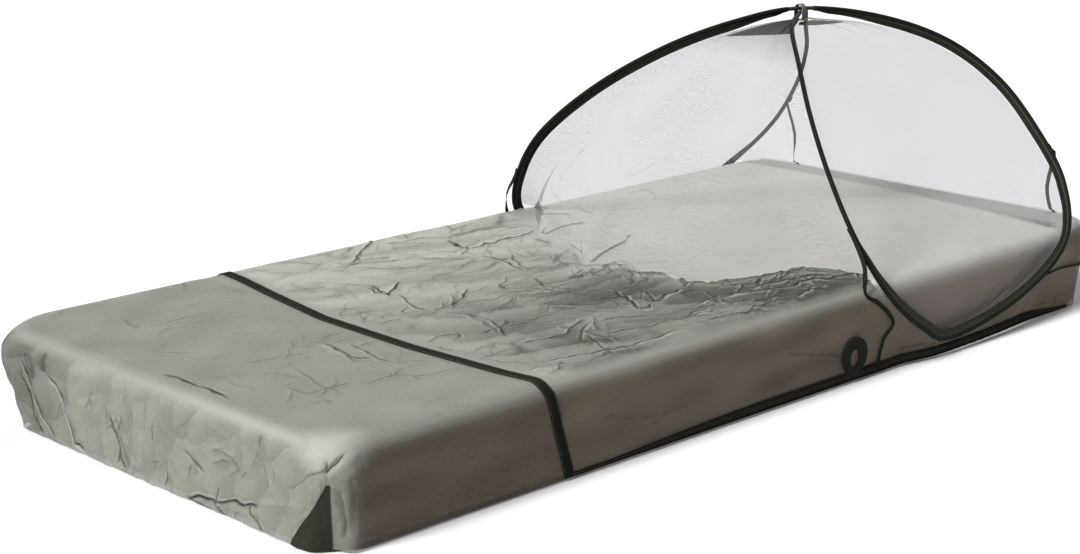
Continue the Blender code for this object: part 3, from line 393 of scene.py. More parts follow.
def softNoise(u, v, size, seed):
    rng, waves = np.random.default_rng(seed), 14
    total = np.zeros(np.shape(u))
    for _ in range(waves):
        turn, phase = rng.uniform(0, 2 * math.pi, 2)
        wave = 2 * math.pi / size * rng.uniform(0.6, 1.6)
        total += np.cos(wave * (u * math.cos(turn) + v * math.sin(turn)) + phase)
    return total / math.sqrt(waves / 2.0) / 2.0


def addCreases(u, v, laid, lineReach, rise, dark, bright):
    for crease in laid:
        points = np.array(crease["line"])
        lean, mark = crease["lean"], crease["mark"]
        width, height = crease["width"], crease["height"]
        reach = max(4.0 * width, lineReach + width)
        low, high = points.min(axis=0) - reach, points.max(axis=0) + reach
        near = np.nonzero((u > low[0]) & (u < high[0]) & (v > low[1]) & (v < high[1]))[0]
        if not len(near):
            continue
        x, y = u[near], v[near]
        lengths = np.hypot(*(points[1:] - points[:-1]).T)
        total, walked = lengths.sum(), 0.0
        best = np.full(len(near), 1e9)
        sided, along = np.zeros(len(near)), np.zeros(len(near))
        for (x0, y0), (x1, y1), length in zip(points, points[1:], lengths):
            share = np.clip(((x - x0) * (x1 - x0) + (y - y0) * (y1 - y0)) / length ** 2, 0.0, 1.0)
            away = np.hypot(x - x0 - share * (x1 - x0), y - y0 - share * (y1 - y0))
            turn = (x1 - x0) * (y - y0) - (y1 - y0) * (x - x0)
            nearer = away < best
            best = np.where(nearer, away, best)
            sided = np.where(nearer, np.copysign(away, turn), sided)
            along = np.where(nearer, (walked + share * length) / total, along)
            walked += length
        start, end = crease["taper"]
        strength = smooth(along / max(start, 0.01)) * smooth((1.0 - along) / max(end, 0.01))
        crest = np.exp(-np.sqrt(best ** 2 + (0.25 * width) ** 2) / (0.8 * width))
        trough = np.exp(-((sided - lean * 1.7 * width) / width) ** 2)
        rise[near] += height * (1.2 * crest - 0.45 * trough) * strength
        # dark line: partly the net lying double, partly painted shade on the crease's shaded side
        line = 1.0 - np.abs(sided - lean * foldLook["lineShift"] * width) / lineReach
        dark[near] = np.maximum(dark[near], mark * strength * line)
        # painted highlight on the crease's lit side
        paintedHighlight = 1.0 - np.abs(sided + lean * foldLook["brightShift"] * lineReach) / lineReach
        bright[near] = np.maximum(bright[near], foldLook["brightShare"] * mark * strength * paintedHighlight)


def crumple(u, v, box, spacing, steep, seed, lineReach, stretch, share):
    # a crumpled surface: the lowest of many tilted bowls, so that a crest runs where two meet. Gives the
    # height, the dark lines along some crests, partly painted shade, and the painted light and shade of the facets: 1
    # where a facet faces the light, -1 away
    rng = np.random.default_rng(seed)
    count = int((box[2] - box[0]) * (box[3] - box[1]) / (spacing ** 2 * stretch))
    middles = rng.uniform(box[:2], box[2:], (count, 2))
    tilts = rng.normal(0.0, 0.5 * steep, (count, 2))
    turns = rng.normal(0.0, 0.5, count)
    levels = rng.normal(0.0, 0.10 * steep * spacing, count)
    lowest, second = np.full(u.shape, 1e3), np.full(u.shape, 1e3)
    first, other = np.zeros(u.shape, int), np.zeros(u.shape, int)
    shadeAndTone = np.zeros(u.shape)
    bend = steep / spacing
    for i in range(count):
        near = np.nonzero(np.hypot((u - middles[i, 0]) / stretch, v - middles[i, 1]) < 2.6 * spacing)[0]
        if not len(near):
            continue
        x, y = u[near] - middles[i, 0], v[near] - middles[i, 1]
        cosine, sine = math.cos(turns[i]), math.sin(turns[i])
        along, across = (x * cosine + y * sine) / stretch, y * cosine - x * sine
        value = bend * (along ** 2 + across ** 2) + tilts[i, 0] * x / stretch + tilts[i, 1] * y + levels[i]
        lower, between = value < lowest[near], (value >= lowest[near]) & (value < second[near])
        second[near] = np.where(lower, lowest[near], np.where(between, value, second[near]))
        other[near] = np.where(lower, first[near], np.where(between, i, other[near]))
        first[near] = np.where(lower, i, first[near])
        slopeX = 2.0 * bend * (along * cosine / stretch - across * sine) + tilts[i, 0] / stretch
        slopeY = 2.0 * bend * (along * sine / stretch + across * cosine) + tilts[i, 1]
        # painted light and shade: the facet's colour follows its slope toward the light
        shadeAndTone[near] = np.where(lower, (0.7 * slopeX + 0.7 * slopeY) / steep, shadeAndTone[near])
        lowest[near] = np.where(lower, value, lowest[near])
    lowest = np.minimum(lowest, steep * spacing)
    gap = np.minimum(second - lowest, 1.0) / (2.0 * steep)
    chance = rng.random(4096)[(first + other) * 7 % 4096]
    line = np.where(chance < share, 1.0 - gap / lineReach, 0.0) * (0.45 + 0.55 * chance / share)
    return lowest - 0.25 * steep * spacing, np.maximum(line, 0.0), np.clip(shadeAndTone, -1.0, 1.0)


def strewCreases(rng, count, box, length, height, width, direction, wander, mark):
    # short creases thrown over a box (u0, v0, u1, v1), most of them near one direction, some
    # branching off the last one
    made = []
    for _ in range(count):
        if made and rng.random() < 0.45:
            parent = np.array(made[-1]["line"])
            start = mix(parent[0], parent[-1], rng.uniform(0.2, 0.8))
            turn = math.atan2(*(parent[-1] - parent[0])[::-1]) + rng.choice((-1, 1)) * rng.uniform(0.35, 1.0)
        else:
            start = np.array([rng.uniform(box[0], box[2]), rng.uniform(box[1], box[3])])
            turn = direction + rng.normal(0.0, wander)
        reach = rng.uniform(*length)
        bend = rng.normal(0.0, 0.35)
        line = [start]
        for _ in range(3):
            line.append(line[-1] + reach / 3 * np.array([math.cos(turn), math.sin(turn)]))
            turn += bend / 2
        made.append({"line": line, "height": rng.uniform(*height), "width": rng.uniform(*width),
                     "lean": rng.choice((-1.0, 1.0)), "mark": rng.uniform(*mark), "taper": (0.30, 0.30)})
    return made


def readCreases(table, taper):
    # the table's creases in metres, drawn a little lower and narrower than they are listed
    return [{"line": np.array(line) / 1000.0, "height": 0.85 * height / 1000.0, "width": 0.75 * width / 1000.0,
             "lean": lean, "mark": mark, "taper": taper} for height, width, lean, mark, *line in table]


# main creases placed one by one, in millimetres: height, half-width, lean, how dark, then the places. On the top
# the places are along and across the bed
topTable = [
    (4, 9, -1, 0.95, (-339, 301), (-249, 379), (-149, 447)),
    (3, 8, 1, 0.70, (-88, 438), (-69, 439), (-42, 447)),
    (3, 8, 1, 0.60, (-44, 436), (-44, 374), (15, 357), (115, 363), (177, 367)),
    (5, 10, -1, 0.95, (-42, 372), (-91, 282), (-81, 253), (-24, 255), (73, 259), (167, 291)),
    (4, 8, 1, 0.90, (265, 436), (230, 380), (167, 291)),
    (4, 8, 1, 1.00, (167, 291), (93, 240), (78, 215), (164, 253)),
    (5, 9, -1, 1.00, (79, 154), (16, 63), (-38, -11)),
    (5, 9, 1, 1.00, (-38, -11), (56, 43), (129, 67)),
    (4, 9, 1, 0.85, (18, 6), (-10, -74), (-41, -164)),
    (5, 9, -1, 1.00, (-386, 191), (-414, 129), (-415, 104), (-355, 144), (-340, 136)),
    (3, 7, 1, 0.90, (-405, 177), (-425, 130), (-417, 106)),
    (5, 10, 1, 0.85, (-390, 105), (-431, 24), (-428, -26)),
    (5, 10, -1, 0.90, (-420, -18), (-372, -18), (-313, 20), (-267, 47)),
    (5, 10, 1, 0.85, (-428, -26), (-405, -64), (-393, -121), (-413, -176), (-452, -238)),
    (3, 8, 1, 0.65, (-390, -47), (-412, -132), (-440, -221)),
    (4, 10, -1, 0.60, (-358, 113), (-305, 112), (-232, 109), (-178, 91), (-142, 74)),
    (5, 9, 1, 0.95, (-123, 218), (-99, 176), (-112, 115), (-129, 60)),
    (4, 9, 1, 0.80, (-43, 197), (-93, 115), (-115, 65), (-79, 65), (-65, 33)),
    (3, 8, -1, 0.60, (-115, 65), (-123, 20), (-78, 11), (-51, 2)),
    (4, 9, 1, 0.85, (-309, -48), (-264, -45), (-211, -70), (-192, -115)),
    (4, 8, 1, 0.85, (-213, 5), (-247, -2), (-175, 53)),
    (3, 8, -1, 0.60, (-217, 9), (-189, -2), (-158, 2)),
    (3, 8, 1, 0.65, (-192, -32), (-182, -75), (-182, -119)),
    (4, 9, 1, 0.60, (-340, -158), (-255, -149), (-180, -143), (-138, -136)),
    (4, 9, -1, 0.85, (-473, -259), (-421, -268), (-367, -278), (-291, -251), (-273, -254)),
    (3, 7, 1, 0.70, (-273, -254), (-308, -293), (-319, -311)),
    (3, 8, 1, 0.70, (-138, -136), (-132, -173), (-119, -203), (-106, -232)),
    (4, 8, -1, 0.95, (-128, -161), (-153, -218), (-184, -280), (-159, -274)),
    (4, 9, 1, 0.95, (-201, -264), (-180, -284), (-105, -264), (-49, -255), (-23, -264)),
    (4, 8, 1, 0.90, (20, -172), (-10, -228), (-11, -253)),
    (3, 7, -1, 0.70, (-46, -108), (-76, -163), (-114, -166)),
    (3, 8, 1, 0.90, (-559, -362), (-479, -374), (-398, -388), (-329, -400), (-252, -406), (-188, -411)),
    (3, 8, 1, 0.70, (-584, -388), (-527, -392), (-454, -412), (-351, -406)),
    (4, 9, -1, 0.80, (-338, -322), (-294, -336), (-249, -365), (-156, -383)),
    (2, 7, 1, 0.60, (-355, -347), (-308, -365), (-249, -365)),
    (2, 7, 1, 0.50, (-364, -267), (-291, -251)),
    (3, 7, -1, 0.85, (-572, -162), (-522, -141), (-484, -150), (-494, -168), (-522, -183)),
    (3, 7, 1, 0.80, (-558, -181), (-558, -214), (-539, -216)),
    (3, 8, 1, 0.60, (-571, -245), (-542, -247), (-484, -234), (-453, -251)),
    (3, 8, -1, 0.60, (-557, -272), (-510, -278), (-437, -267)),
    (3, 9, 1, 0.50, (-585, 8), (-505, 3), (-449, -5), (-416, -22)),
    (2, 8, 1, 0.50, (-406, 314), (-387, 278), (-348, 275)),
    (2, 8, -1, 0.50, (-421, 276), (-433, 221), (-419, 190)),
    (4, 9, 1, 0.75, (-257, 204), (-226, 191), (-207, 155), (-113, 190)),
    (3, 8, 1, 0.60, (-251, 163), (-163, 184), (-99, 195)),
    (2, 8, -1, 0.45, (-305, 287), (-285, 231), (-253, 200)),
    (2, 8, 1, 0.45, (-234, 290), (-197, 272), (-178, 235)),
    (3, 8, 1, 0.45, (24, 327), (5, 266), (34, 258)),
    (2, 7, -1, 0.50, (-303, -164), (-262, -173), (-225, -178)),
    (3, 8, 1, 0.55, (-214, -125), (-196, -159), (-141, -139)),
    (3, 7, 1, 0.70, (-194, -240), (-152, -250), (-97, -208)),
    (3, 8, -1, 0.85, (-679, -44), (-694, -98), (-694, -151), (-677, -181)),
    (3, 8, 1, 0.85, (-654, -68), (-666, -125), (-677, -181), (-669, -223)),
    (2, 8, 1, 0.55, (-730, -244), (-679, -243), (-626, -249)),
    (2, 8, -1, 0.70, (-849, -238), (-819, -243), (-778, -235)),
    (2, 8, 1, 0.50, (-865, -258), (-876, -305)),
    (2, 7, 1, 0.45, (-747, -265), (-709, -302), (-680, -318)),
    (2, 7, -1, 0.50, (-507, -308), (-470, -317), (-417, -328), (-382, -349)),
    (2, 7, 1, 0.50, (-489, -365), (-435, -378), (-368, -390)),
    (2, 7, 1, 0.50, (-293, -204), (-236, -198), (-186, -216)),
    (3, 8, -1, 0.75, (-203, -322), (-170, -340), (-116, -347)),
    (3, 8, 1, 0.70, (96, -142), (182, -118), (255, -115)),
    (4, 8, -1, 0.85, (31, -166), (-14, -223), (-19, -252)),
    (3, 8, 1, 1.00, (-158, -337), (-78, -338), (12, -347), (105, -373), (164, -381), (242, -414)),
    (3, 8, 1, 0.75, (-125, -307), (-66, -334), (-5, -378), (51, -417)),
    (3, 8, -1, 0.85, (-180, -404), (-111, -413), (-35, -426), (25, -438)),
    (2, 7, 1, 0.60, (-189, -365), (-140, -384), (-82, -411)),
    (3, 8, 1, 0.95, (-32, -272), (26, -295), (79, -331), (146, -347), (188, -361), (233, -382)),
    (3, 8, -1, 0.80, (121, -296), (170, -320), (221, -352), (243, -398), (239, -432)),
    (4, 8, 1, 0.95, (341, -273), (297, -340), (260, -408), (225, -447)),
    # at the near foot strand
    (3, 12, 1, 1.00, (312, -262), (264, -375), (226, -436)),
    (3, 10, -1, 0.90, (315, -300), (292, -350), (252, -430)),
    # foot part: long faint ones
    (3, 7, -1, 0.90, (-965, 20), (-958, -100), (-962, -200)),
    (2, 8, 1, 0.60, (-840, 300), (-850, 230)),
    (2, 8, 1, 0.50, (-910, 320), (-840, 300), (-630, 280)),
    (3, 8, 1, 0.75, (-680, -40), (-710, -170)),
    (2, 8, 1, 0.60, (-870, -170), (-870, -240), (-790, -240)),
    (2, 7, 1, 0.50, (-920, -100), (-910, -170)),
    (2, 8, 1, 0.50, (-920, 20), (-690, 0)),
    (2, 8, 1, 0.55, (-780, 120), (-700, 60), (-620, 50)),
    (2, 8, -1, 0.50, (-900, 200), (-760, 190), (-640, 160)),
]
# on the sides: along the outline from the foot's middle (minus is the near way), then height; a minus
# crease is a valley
sideTable = [
    (-4, 9, -1, 1.00, (358, 134), (334, 106), (312, 66), (288, 38), (254, 7)),
    (-3.5, 8, 1, 1.00, (349, 118), (346, 94), (322, 69), (310, 36), (286, 5)),
    (-3, 7, 1, 0.80, (336, 139), (327, 116), (324, 99)),
    (-5, 10, -1, 1.00, (274, 122), (239, 103), (221, 81), (209, 42), (196, 15), (161, 9)),
    (-3, 8, 1, 0.85, (224, 98), (217, 70)),
    (-5, 10, 1, 1.00, (94, 93), (77, 57), (66, 25), (48, 9)),
    (-3, 8, -1, 0.80, (81, 73), (74, 46), (72, 11)),
    (-4, 9, 1, 0.85, (-51, 3), (-61, 34), (-64, 49)),
    (-6, 9, 1, 1.00, (-92, 3), (-134, 14), (-170, 21), (-188, 17), (-214, 27), (-258, 36), (-291, 40)),
    (-4, 8, -1, 0.95, (-106, 3), (-142, 3), (-178, 3)),
    (-4, 8, 1, 0.90, (-178, 9), (-212, 3), (-247, 3)),
    (-3, 8, 1, 0.85, (-194, 44), (-183, 22), (-178, 9)),
    (-3, 8, -1, 0.90, (-112, 84), (-134, 73), (-155, 56)),
    (3, 8, 1, 0.65, (-176, 103), (-210, 106), (-244, 93), (-256, 85)),
    (-4, 8, 1, 0.85, (-258, 45), (-270, 23), (-306, 3)),
    (3, 9, -1, 0.50, (-291, 40), (-342, 54), (-382, 60)),
    (3, 8, 1, 0.45, (-210, 106), (-220, 125), (-177, 130)),
    (3, 9, 1, 0.45, (9, 74), (-8, 49), (13, 21)),
    (3, 9, -1, 0.40, (174, 92), (125, 80)),
    (-4, 8, 1, 0.95, (-443, 147), (-445, 126), (-461, 138), (-484, 153), (-506, 160)),
    (-4, 9, 1, 0.65, (-463, 101), (-475, 66), (-480, 22)),
    (-3, 12, 1, 0.50, (-493, 124), (-494, 71), (-490, 30)),
    (-3, 12, 1, 0.45, (-512, 135), (-518, 107), (-520, 65)),
    (2, 9, 1, 0.70, (-1436, 94), (-1532, 75), (-1612, 56)),
    (2, 8, 1, 0.75, (-1757, 37), (-1843, 33), (-1921, 21)),
    (-4, 9, 1, 0.90, (-2185, 55), (-2169, 33), (-2155, 17)),
    (-3, 9, 1, 0.80, (-2233, 67), (-2223, 44), (-2206, 26)),
    (-3, 8, 1, 0.80, (-2288, 39), (-2286, 18)),
    (-3, 8, 1, 0.70, (-2188, 26), (-2225, 30), (-2262, 28)),
    (2, 14, 1, 0.35, (-1167, 151), (-1270, 153), (-1386, 160)),
    (-2, 10, 1, 0.60, (-1687, 151), (-1720, 125), (-1732, 90)),
    (-2, 10, 1, 0.50, (-1790, 11), (-1778, 31), (-1777, 47)),
    (2, 16, 1, 0.40, (-926, 134), (-1036, 130), (-1151, 137)),
    (2, 16, 1, 0.40, (-904, 106), (-957, 110), (-1069, 102)),
    (2, 14, 1, 0.45, (-840, 125), (-920, 110), (-1030, 120)),
    (2, 14, 1, 0.40, (-1170, 60), (-1280, 70), (-1350, 62)),
    (2, 12, -1, 0.55, (-980, 90), (-1080, 62), (-1220, 55)),
]
# on the dome's front panel: across it and down it
frontTable = [
    (3, 7, -1, 0.95, (780, 582), (615, 537), (580, 558)),
    (3, 7, 1, 0.80, (760, 576), (560, 534), (510, 528)),
    (3, 7, 1, 0.95, (580, 558), (605, 594), (595, 594), (550, 561), (450, 522)),
    (2, 7, -1, 0.60, (575, 504), (495, 510), (425, 498)),
    (2, 7, 1, 0.60, (555, 540), (530, 537), (450, 525)),
    (4, 8, 1, 1.00, (535, 590), (460, 594), (400, 596)),
    (4, 8, -1, 1.00, (400, 596), (385, 570), (370, 552), (340, 525)),
    (2, 8, 1, 0.50, (365, 507), (355, 522), (370, 549)),
    (2, 7, 1, 0.60, (550, 516), (470, 510), (450, 519)),
    (3, 8, -1, 0.70, (385, 588), (340, 592), (295, 590)),
    (2, 8, 1, 0.50, (270, 590), (225, 585), (200, 564)),
    (2, 7, -1, 0.70, (750, 573), (605, 528), (585, 552)),
    (2, 7, 1, 0.60, (790, 588), (740, 588), (680, 576)),
    (2, 8, 1, 0.50, (220, 561), (200, 543), (180, 528)),
    (2, 8, -1, 0.50, (170, 564), (160, 561), (150, 573)),
]
creases = {"top": readCreases(topTable, (0.2, 0.2)), "side": readCreases(sideTable, (0.15, 0.08)),
           "front": readCreases(frontTable, (0.15, 0.15))}
# where, how many, box, length, height, half-width, direction, wander and how dark, in metres
strewn = [
    ("top", 260, (-0.56, -0.43, 0.10, 0.43), (0.05, 0.20),
     (0.0008, 0.0024), (0.0035, 0.0060), 0.06, 0.45, (0.42, 0.85)),
    ("top", 120, (-0.20, -0.43, 0.24, 0.05), (0.04, 0.14),
     (0.0008, 0.0024), (0.0035, 0.0060), 0.05, 0.35, (0.45, 0.90)),
    ("top", 30, (-0.10, -0.44, 0.30, -0.30), (0.08, 0.24),
     (0.0008, 0.0020), (0.0035, 0.0055), 0.05, 0.10, (0.5, 1.0)),
    ("top", 60, (-0.96, -0.42, -0.60, 0.42), (0.06, 0.22),
     (0.0004, 0.0012), (0.004, 0.007), 0.0, 0.35, (0.38, 0.66)),
    ("side", 80, (-0.43, 0.02, 0.43, 0.15), (0.02, 0.07),
     (0.0006, 0.0018), (0.005, 0.009), -1.35, 0.6, (0.38, 0.70)),
    ("side", 34, (-1.70, 0.03, -0.50, 0.13), (0.08, 0.30),
     (0.0004, 0.0012), (0.007, 0.012), 0.05, 0.35, (0.25, 0.50)),
]
foldChance = np.random.default_rng(11)
for where, *strew in strewn:
    creases[where] += strewCreases(foldChance, *strew)
creases["front"] += strewCreases(np.random.default_rng(17), 22, (0.06, 0.44, 0.74, 0.57), (0.05, 0.14),
                                 (0.0010, 0.0025), (0.004, 0.007), -1.35, 0.6, (0.30, 0.60))
print("creases laid:", sum(len(laid) for laid in creases.values()))


def topFolds(x, y):
    # height of the folds, their dark lines (partly painted shade), their painted highlights, and the facets' painted
    # light and shade with random tone
    rise, dark, bright, shadeAndTone = (np.zeros(x.shape) for _ in range(4))
    warpX, warpY = (place + foldLook["warp"] * softNoise(x, y, 0.05, seed) for place, seed in ((x, 3), (y, 4)))
    addCreases(warpX, warpY, creases["top"], foldLook["topReach"], rise, dark, bright)
    middle = smooth((x + 0.60) / 0.08)
    near = mix(0.75, 1.0, smooth((x + 0.25) / 0.25)) * middle
    for size, steep, seed, share, weight in foldLook["topFacets"]:
        height, line, facet = crumple(warpX, warpY, (-0.62, -0.47, 0.34, 0.47), size, steep, seed,
                                      foldLook["topReach"], 2.4, share)
        rise += near * height
        dark = np.maximum(dark, 0.85 * near * line)
        shadeAndTone += weight * facet * near
    shadeAndTone += 0.14 * (1.0 - middle) * softNoise(x, 1.4 * y, 0.20, 6)
    # the middle is drawn lighter toward the far side and darker toward the near side
    shadeAndTone += middle * (0.45 * smooth((y - 0.02) / 0.25) - 0.72 * smooth((0.06 - y) / 0.25) * smooth((x + 0.55) / 0.20))
    rise += (0.0005 + 0.0010 * middle) * softNoise(x, 1.6 * y, 0.16, 5)
    hold = smooth((np.abs(x - strapAt(y, bed["top"])) - 0.011) / 0.030)
    edge = smooth((halfWidth - 0.006 - np.abs(y)) / 0.030)
    edge *= smooth((halfLength - 0.006 - np.abs(x)) / 0.030)
    base = smooth((apronAt(y) - 0.004 - x) / 0.030)
    past = x > 0.30
    amount = hold * edge * np.where(past, 0.25, base)
    shown = np.minimum(1.0, hold * edge * 1.3) * np.where(past, 0.3, smooth(base * 3))
    return rise * amount, dark * shown, bright * shown, shadeAndTone * shown


def outlinePath(x, y):
    # distance along the outline from the foot's middle, minus the near way, each rounded corner counted as
    # its square one
    total = 2.0 * (halfLength + halfWidth)
    path = np.zeros(x.shape)
    for end in (-1, 1):
        radius = np.where(y < 0, bed["corners"][(end, -1)][0], bed["corners"][(end, 1)][0])
        pastX = end * x - halfLength + radius
        pastY = np.abs(y) - halfWidth + radius
        turn = np.arctan2(np.maximum(pastY, 0.0), np.maximum(pastX, 1e-9)) / (0.5 * math.pi)
        past = np.where(pastY <= 0, np.abs(y), halfWidth - radius + 2.0 * radius * turn)
        away = np.where(pastX <= 0, halfWidth + halfLength - end * x, past)
        path = np.where(end * x >= 0, away if end < 0 else total - away, path)
    return np.copysign(path, y)


def sideFolds(x, y, z):
    rise, dark, bright, shadeAndTone = (np.zeros(x.shape) for _ in range(4))
    path = outlinePath(x, y)
    warp = path + foldLook["warp"] * softNoise(path, z, 0.05, 8)
    addCreases(warp, z + 0.002 * softNoise(path, z, 0.04, 10), creases["side"], foldLook["sideReach"],
               rise, dark, bright)
    onFoot = smooth((-0.93 - x) / 0.05)
    height, line, facet = crumple(warp, z, (-0.47, -0.02, 0.47, 0.19), 0.050, 0.11, 63,
                                  foldLook["sideReach"], 0.8, 0.35)
    rise += onFoot * height
    dark = np.maximum(dark, 0.75 * onFoot * line)
    # painted light and shade of the foot face's facets, and random tone along the long sides
    shadeAndTone += onFoot * 0.30 * facet + (1.0 - onFoot) * 0.30 * softNoise(0.5 * path, 1.6 * z, 0.12, 12)
    shadeAndTone -= 1.1 * onFoot * smooth((y - 0.12) / 0.32)       # darker round the far foot corner: partly the cloth gathered thicker, partly painted shade
    rise += 0.0008 * softNoise(0.6 * path, z, 0.12, 9)
    edge = smooth((bed["top"] - 0.004 - z) / 0.03)
    nearCorner = smooth(1.0 - np.abs(path + 0.47) / 0.08)
    amount = edge * np.maximum(mix(0.55, 1.0, onFoot), nearCorner)
    hem = mix(0.7, 1.0, smooth((z - bed["hem"]) / 0.02))
    proud = 0.0035 * np.maximum(onFoot, nearCorner) * edge       # room for the valleys
    shown = np.minimum(1.0, 1.6 * edge)
    return rise * amount * hem + proud, dark * shown, bright * amount, shadeAndTone * shown


# painted highlight: the taut cloth is drawn lighter along the foot's edge (far and near part), the near edge and at
# the near foot corner
paintedEdgeLook = {"foot": (0.36, 0.58), "footReach": 0.020, "near": 0.45, "nearReach": 0.018,
            "corner": 0.75, "cornerReach": 0.07}


def paintedEdgeHighlight(x, y, z, onTop):
    down = bed["top"] - z
    onEnd = np.abs(y) < halfWidth - 0.03
    toFoot = np.where(onTop, x + halfLength, np.where(onEnd & (x < 0), down, 1.0))
    toNear = np.where(onTop, y + halfWidth, np.where(~onEnd & (y < 0), down, 1.0))
    foot = np.exp(-((toFoot - 0.004) / paintedEdgeLook["footReach"]) ** 2)
    foot *= mix(*paintedEdgeLook["foot"], smooth((0.20 - y) / 0.50))
    foot *= 1.0 - 0.8 * smooth((y - 0.22) / 0.20)
    near = paintedEdgeLook["near"] * np.exp(-(toNear / paintedEdgeLook["nearReach"]) ** 2)
    corner = paintedEdgeLook["corner"] * np.exp(-(np.hypot(x + 0.97, y + 0.43) / paintedEdgeLook["cornerReach"]) ** 2)
    return np.maximum(np.maximum(foot, near), corner * smooth((z - 0.09) / 0.05))


def coverMarks(x, y, z, onTop):
    # the height of the folds, then their dark lines (partly painted shade), painted highlights, and painted light and
    # shade with random tone
    made = np.zeros((4,) + x.shape)
    if onTop.any():
        made[:, onTop] = topFolds(x[onTop], y[onTop])
    if (~onTop).any():
        made[:, ~onTop] = sideFolds(x[~onTop], y[~onTop], z[~onTop])
    # the painted edge highlight joins the folds' painted highlights
    made[2] = np.maximum(made[2], paintedEdgeHighlight(x, y, z, onTop))
    return made


def coverFolds(x, y, z, onTop):
    return coverMarks(x, y, z, onTop)[0]


def spread(start, end, spacing):
    return np.linspace(start, end, max(1, round(abs(end - start) / spacing)) + 1)


def boxSheet(xs, ys, zs, ends):
    # the plain box round the mattress without its underside, with the ends wanted, as shared places
    top, side = bed["top"], halfWidth
    patches = [("top", [[(x, y, top) for x in xs] for y in ys]),
               ("near", [[(x, -side, z) for x in xs] for z in zs]),
               ("far", [[(x, side, z) for x in xs] for z in zs[::-1]])]
    patches += [("end", [[(x, y, z) for y in ys] for z in (zs[::-1] if x < 0 else zs)]) for x in ends]
    places, index, quads, kinds = [], {}, [], []
    for kind, rows in patches:      # each patch is laid so that its faces look outward
        lines = []
        for row in rows:
            line = []
            for place in row:
                key = tuple(round(float(value), 5) for value in place)
                if key not in index:
                    index[key] = len(places)
                    places.append(place)
                line.append(index[key])
            lines.append(line)
        for low, high in zip(lines, lines[1:]):
            for i in range(len(low) - 1):
                quads.append((low[i], low[i + 1], high[i + 1], high[i]))
                kinds.append(kind)
    return np.array(places), np.array(quads), np.array(kinds)


def layFlat(plain, kinds, quads, endX):
    # where each corner of each face lies on the cloth before it is put on, in metres
    corners = plain[quads]
    x, y, z = corners[..., 0], corners[..., 1], corners[..., 2]
    drop = bed["top"] - z
    kind = kinds[:, None]
    flatU = np.where(kind == "end", endX + np.sign(endX) * drop, x)
    flatV = np.where(kind == "near", -halfWidth - drop, np.where(kind == "far", halfWidth + drop, y))
    return np.stack([flatU, flatV], axis=-1)


def makeMesh(name, points, faces, material, flat=None, marks=None, outFrom=None, mend=None):
    # a smooth mesh object at the origin; flat gives each face corner's place on the cloth, marks are numbers
    # for its places, faces are turned away from outFrom, and mend works on its bmesh
    mesh = bpy.data.meshes.new(name)
    points = np.asarray(points, float)
    faces = [tuple(int(i) for i in face) for face in faces]
    if outFrom is not None:
        first = np.array([face[:3] for face in faces])
        normals = np.cross(points[first[:, 1]] - points[first[:, 0]], points[first[:, 2]] - points[first[:, 0]])
        if np.sum(normals * (points[first[:, 0]] - np.asarray(outFrom))) < 0:
            faces = [face[::-1] for face in faces]
            flat = flat[:, ::-1]
    mesh.from_pydata([tuple(point) for point in points], [], faces)
    if flat is not None:
        layer = mesh.uv_layers.new(name="cloth")
        layer.data.foreach_set("uv", np.asarray(flat, np.float32).reshape(-1))
    for title, values in (marks or {}).items():
        layer = mesh.attributes.new(title, "FLOAT", "POINT")
        layer.data.foreach_set("value", np.asarray(values, np.float32).reshape(-1))
    if mend:
        bm = bmesh.new()
        bm.from_mesh(mesh)
        mend(bm)
        bm.to_mesh(mesh)
        bm.free()
    mesh.shade_smooth()
    mesh.materials.append(material)
    piece = bpy.data.objects.new(name, mesh)
    bpy.context.scene.collection.objects.link(piece)
    return piece


def turnOut(bm):
    bmesh.ops.recalc_face_normals(bm, faces=bm.faces)


def mergeDoubles(bm):
    bmesh.ops.remove_doubles(bm, verts=bm.verts, dist=1e-5)


def joinPart(piece, node):
    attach(piece, "root")
    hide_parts(node)


def areaOf(piece):
    return sum(face.area for face in piece.data.polygons)


def gridQuads(rows, columns):
    number = np.arange(rows * columns).reshape(rows, columns)
    return np.stack([number[:-1, :-1], number[:-1, 1:], number[1:, 1:], number[1:, :-1]], axis=-1).reshape(-1, 4)


def dropLoose(points, quads, keep):
    # keeps the wanted faces and the places that they use
    kept = quads[keep]
    used = np.unique(kept)
    renumber = np.full(len(points), -1)
    renumber[used] = np.arange(len(used))
    return used, renumber[kept]


# cloth and tape materials

def finishCloth(tree, shader, tint, height, bump, surface):
    # colour, relief and dullness of a cloth; bump is strength and depth, surface is roughness, sheen and gloss
    normal = addNode(tree, "Bump", None, {"Height": height, "Strength": bump[0], "Distance": bump[1]})
    fillIn(tree, shader, {"Base Color": tint, "Normal": normal, "Roughness": surface[0],
                          "Sheen Weight": surface[1], "Specular IOR Level": surface[2]})


def meshPattern(tree, place, spacing):
    # holes of a knitted net as a grid of soft spots, from 0 in a hole to 1 on a thread
    parts = addNode(tree, "SeparateXYZ", None, {0: place}, None)
    waves = []
    for axis in (0, 1):
        wave = addNode(tree, "Math", times, {0: parts.outputs[axis], 1: 2.0 * math.pi / spacing})
        for shape in ("SINE", "ABSOLUTE"):
            wave = addNode(tree, "Math", {"operation": shape}, {0: wave})
        waves.append(wave)
    holes = addNode(tree, "Math", times, dict(enumerate(waves)))
    return addNode(tree, "Math", {"operation": "SUBTRACT"}, {0: 1.0, 1: holes})


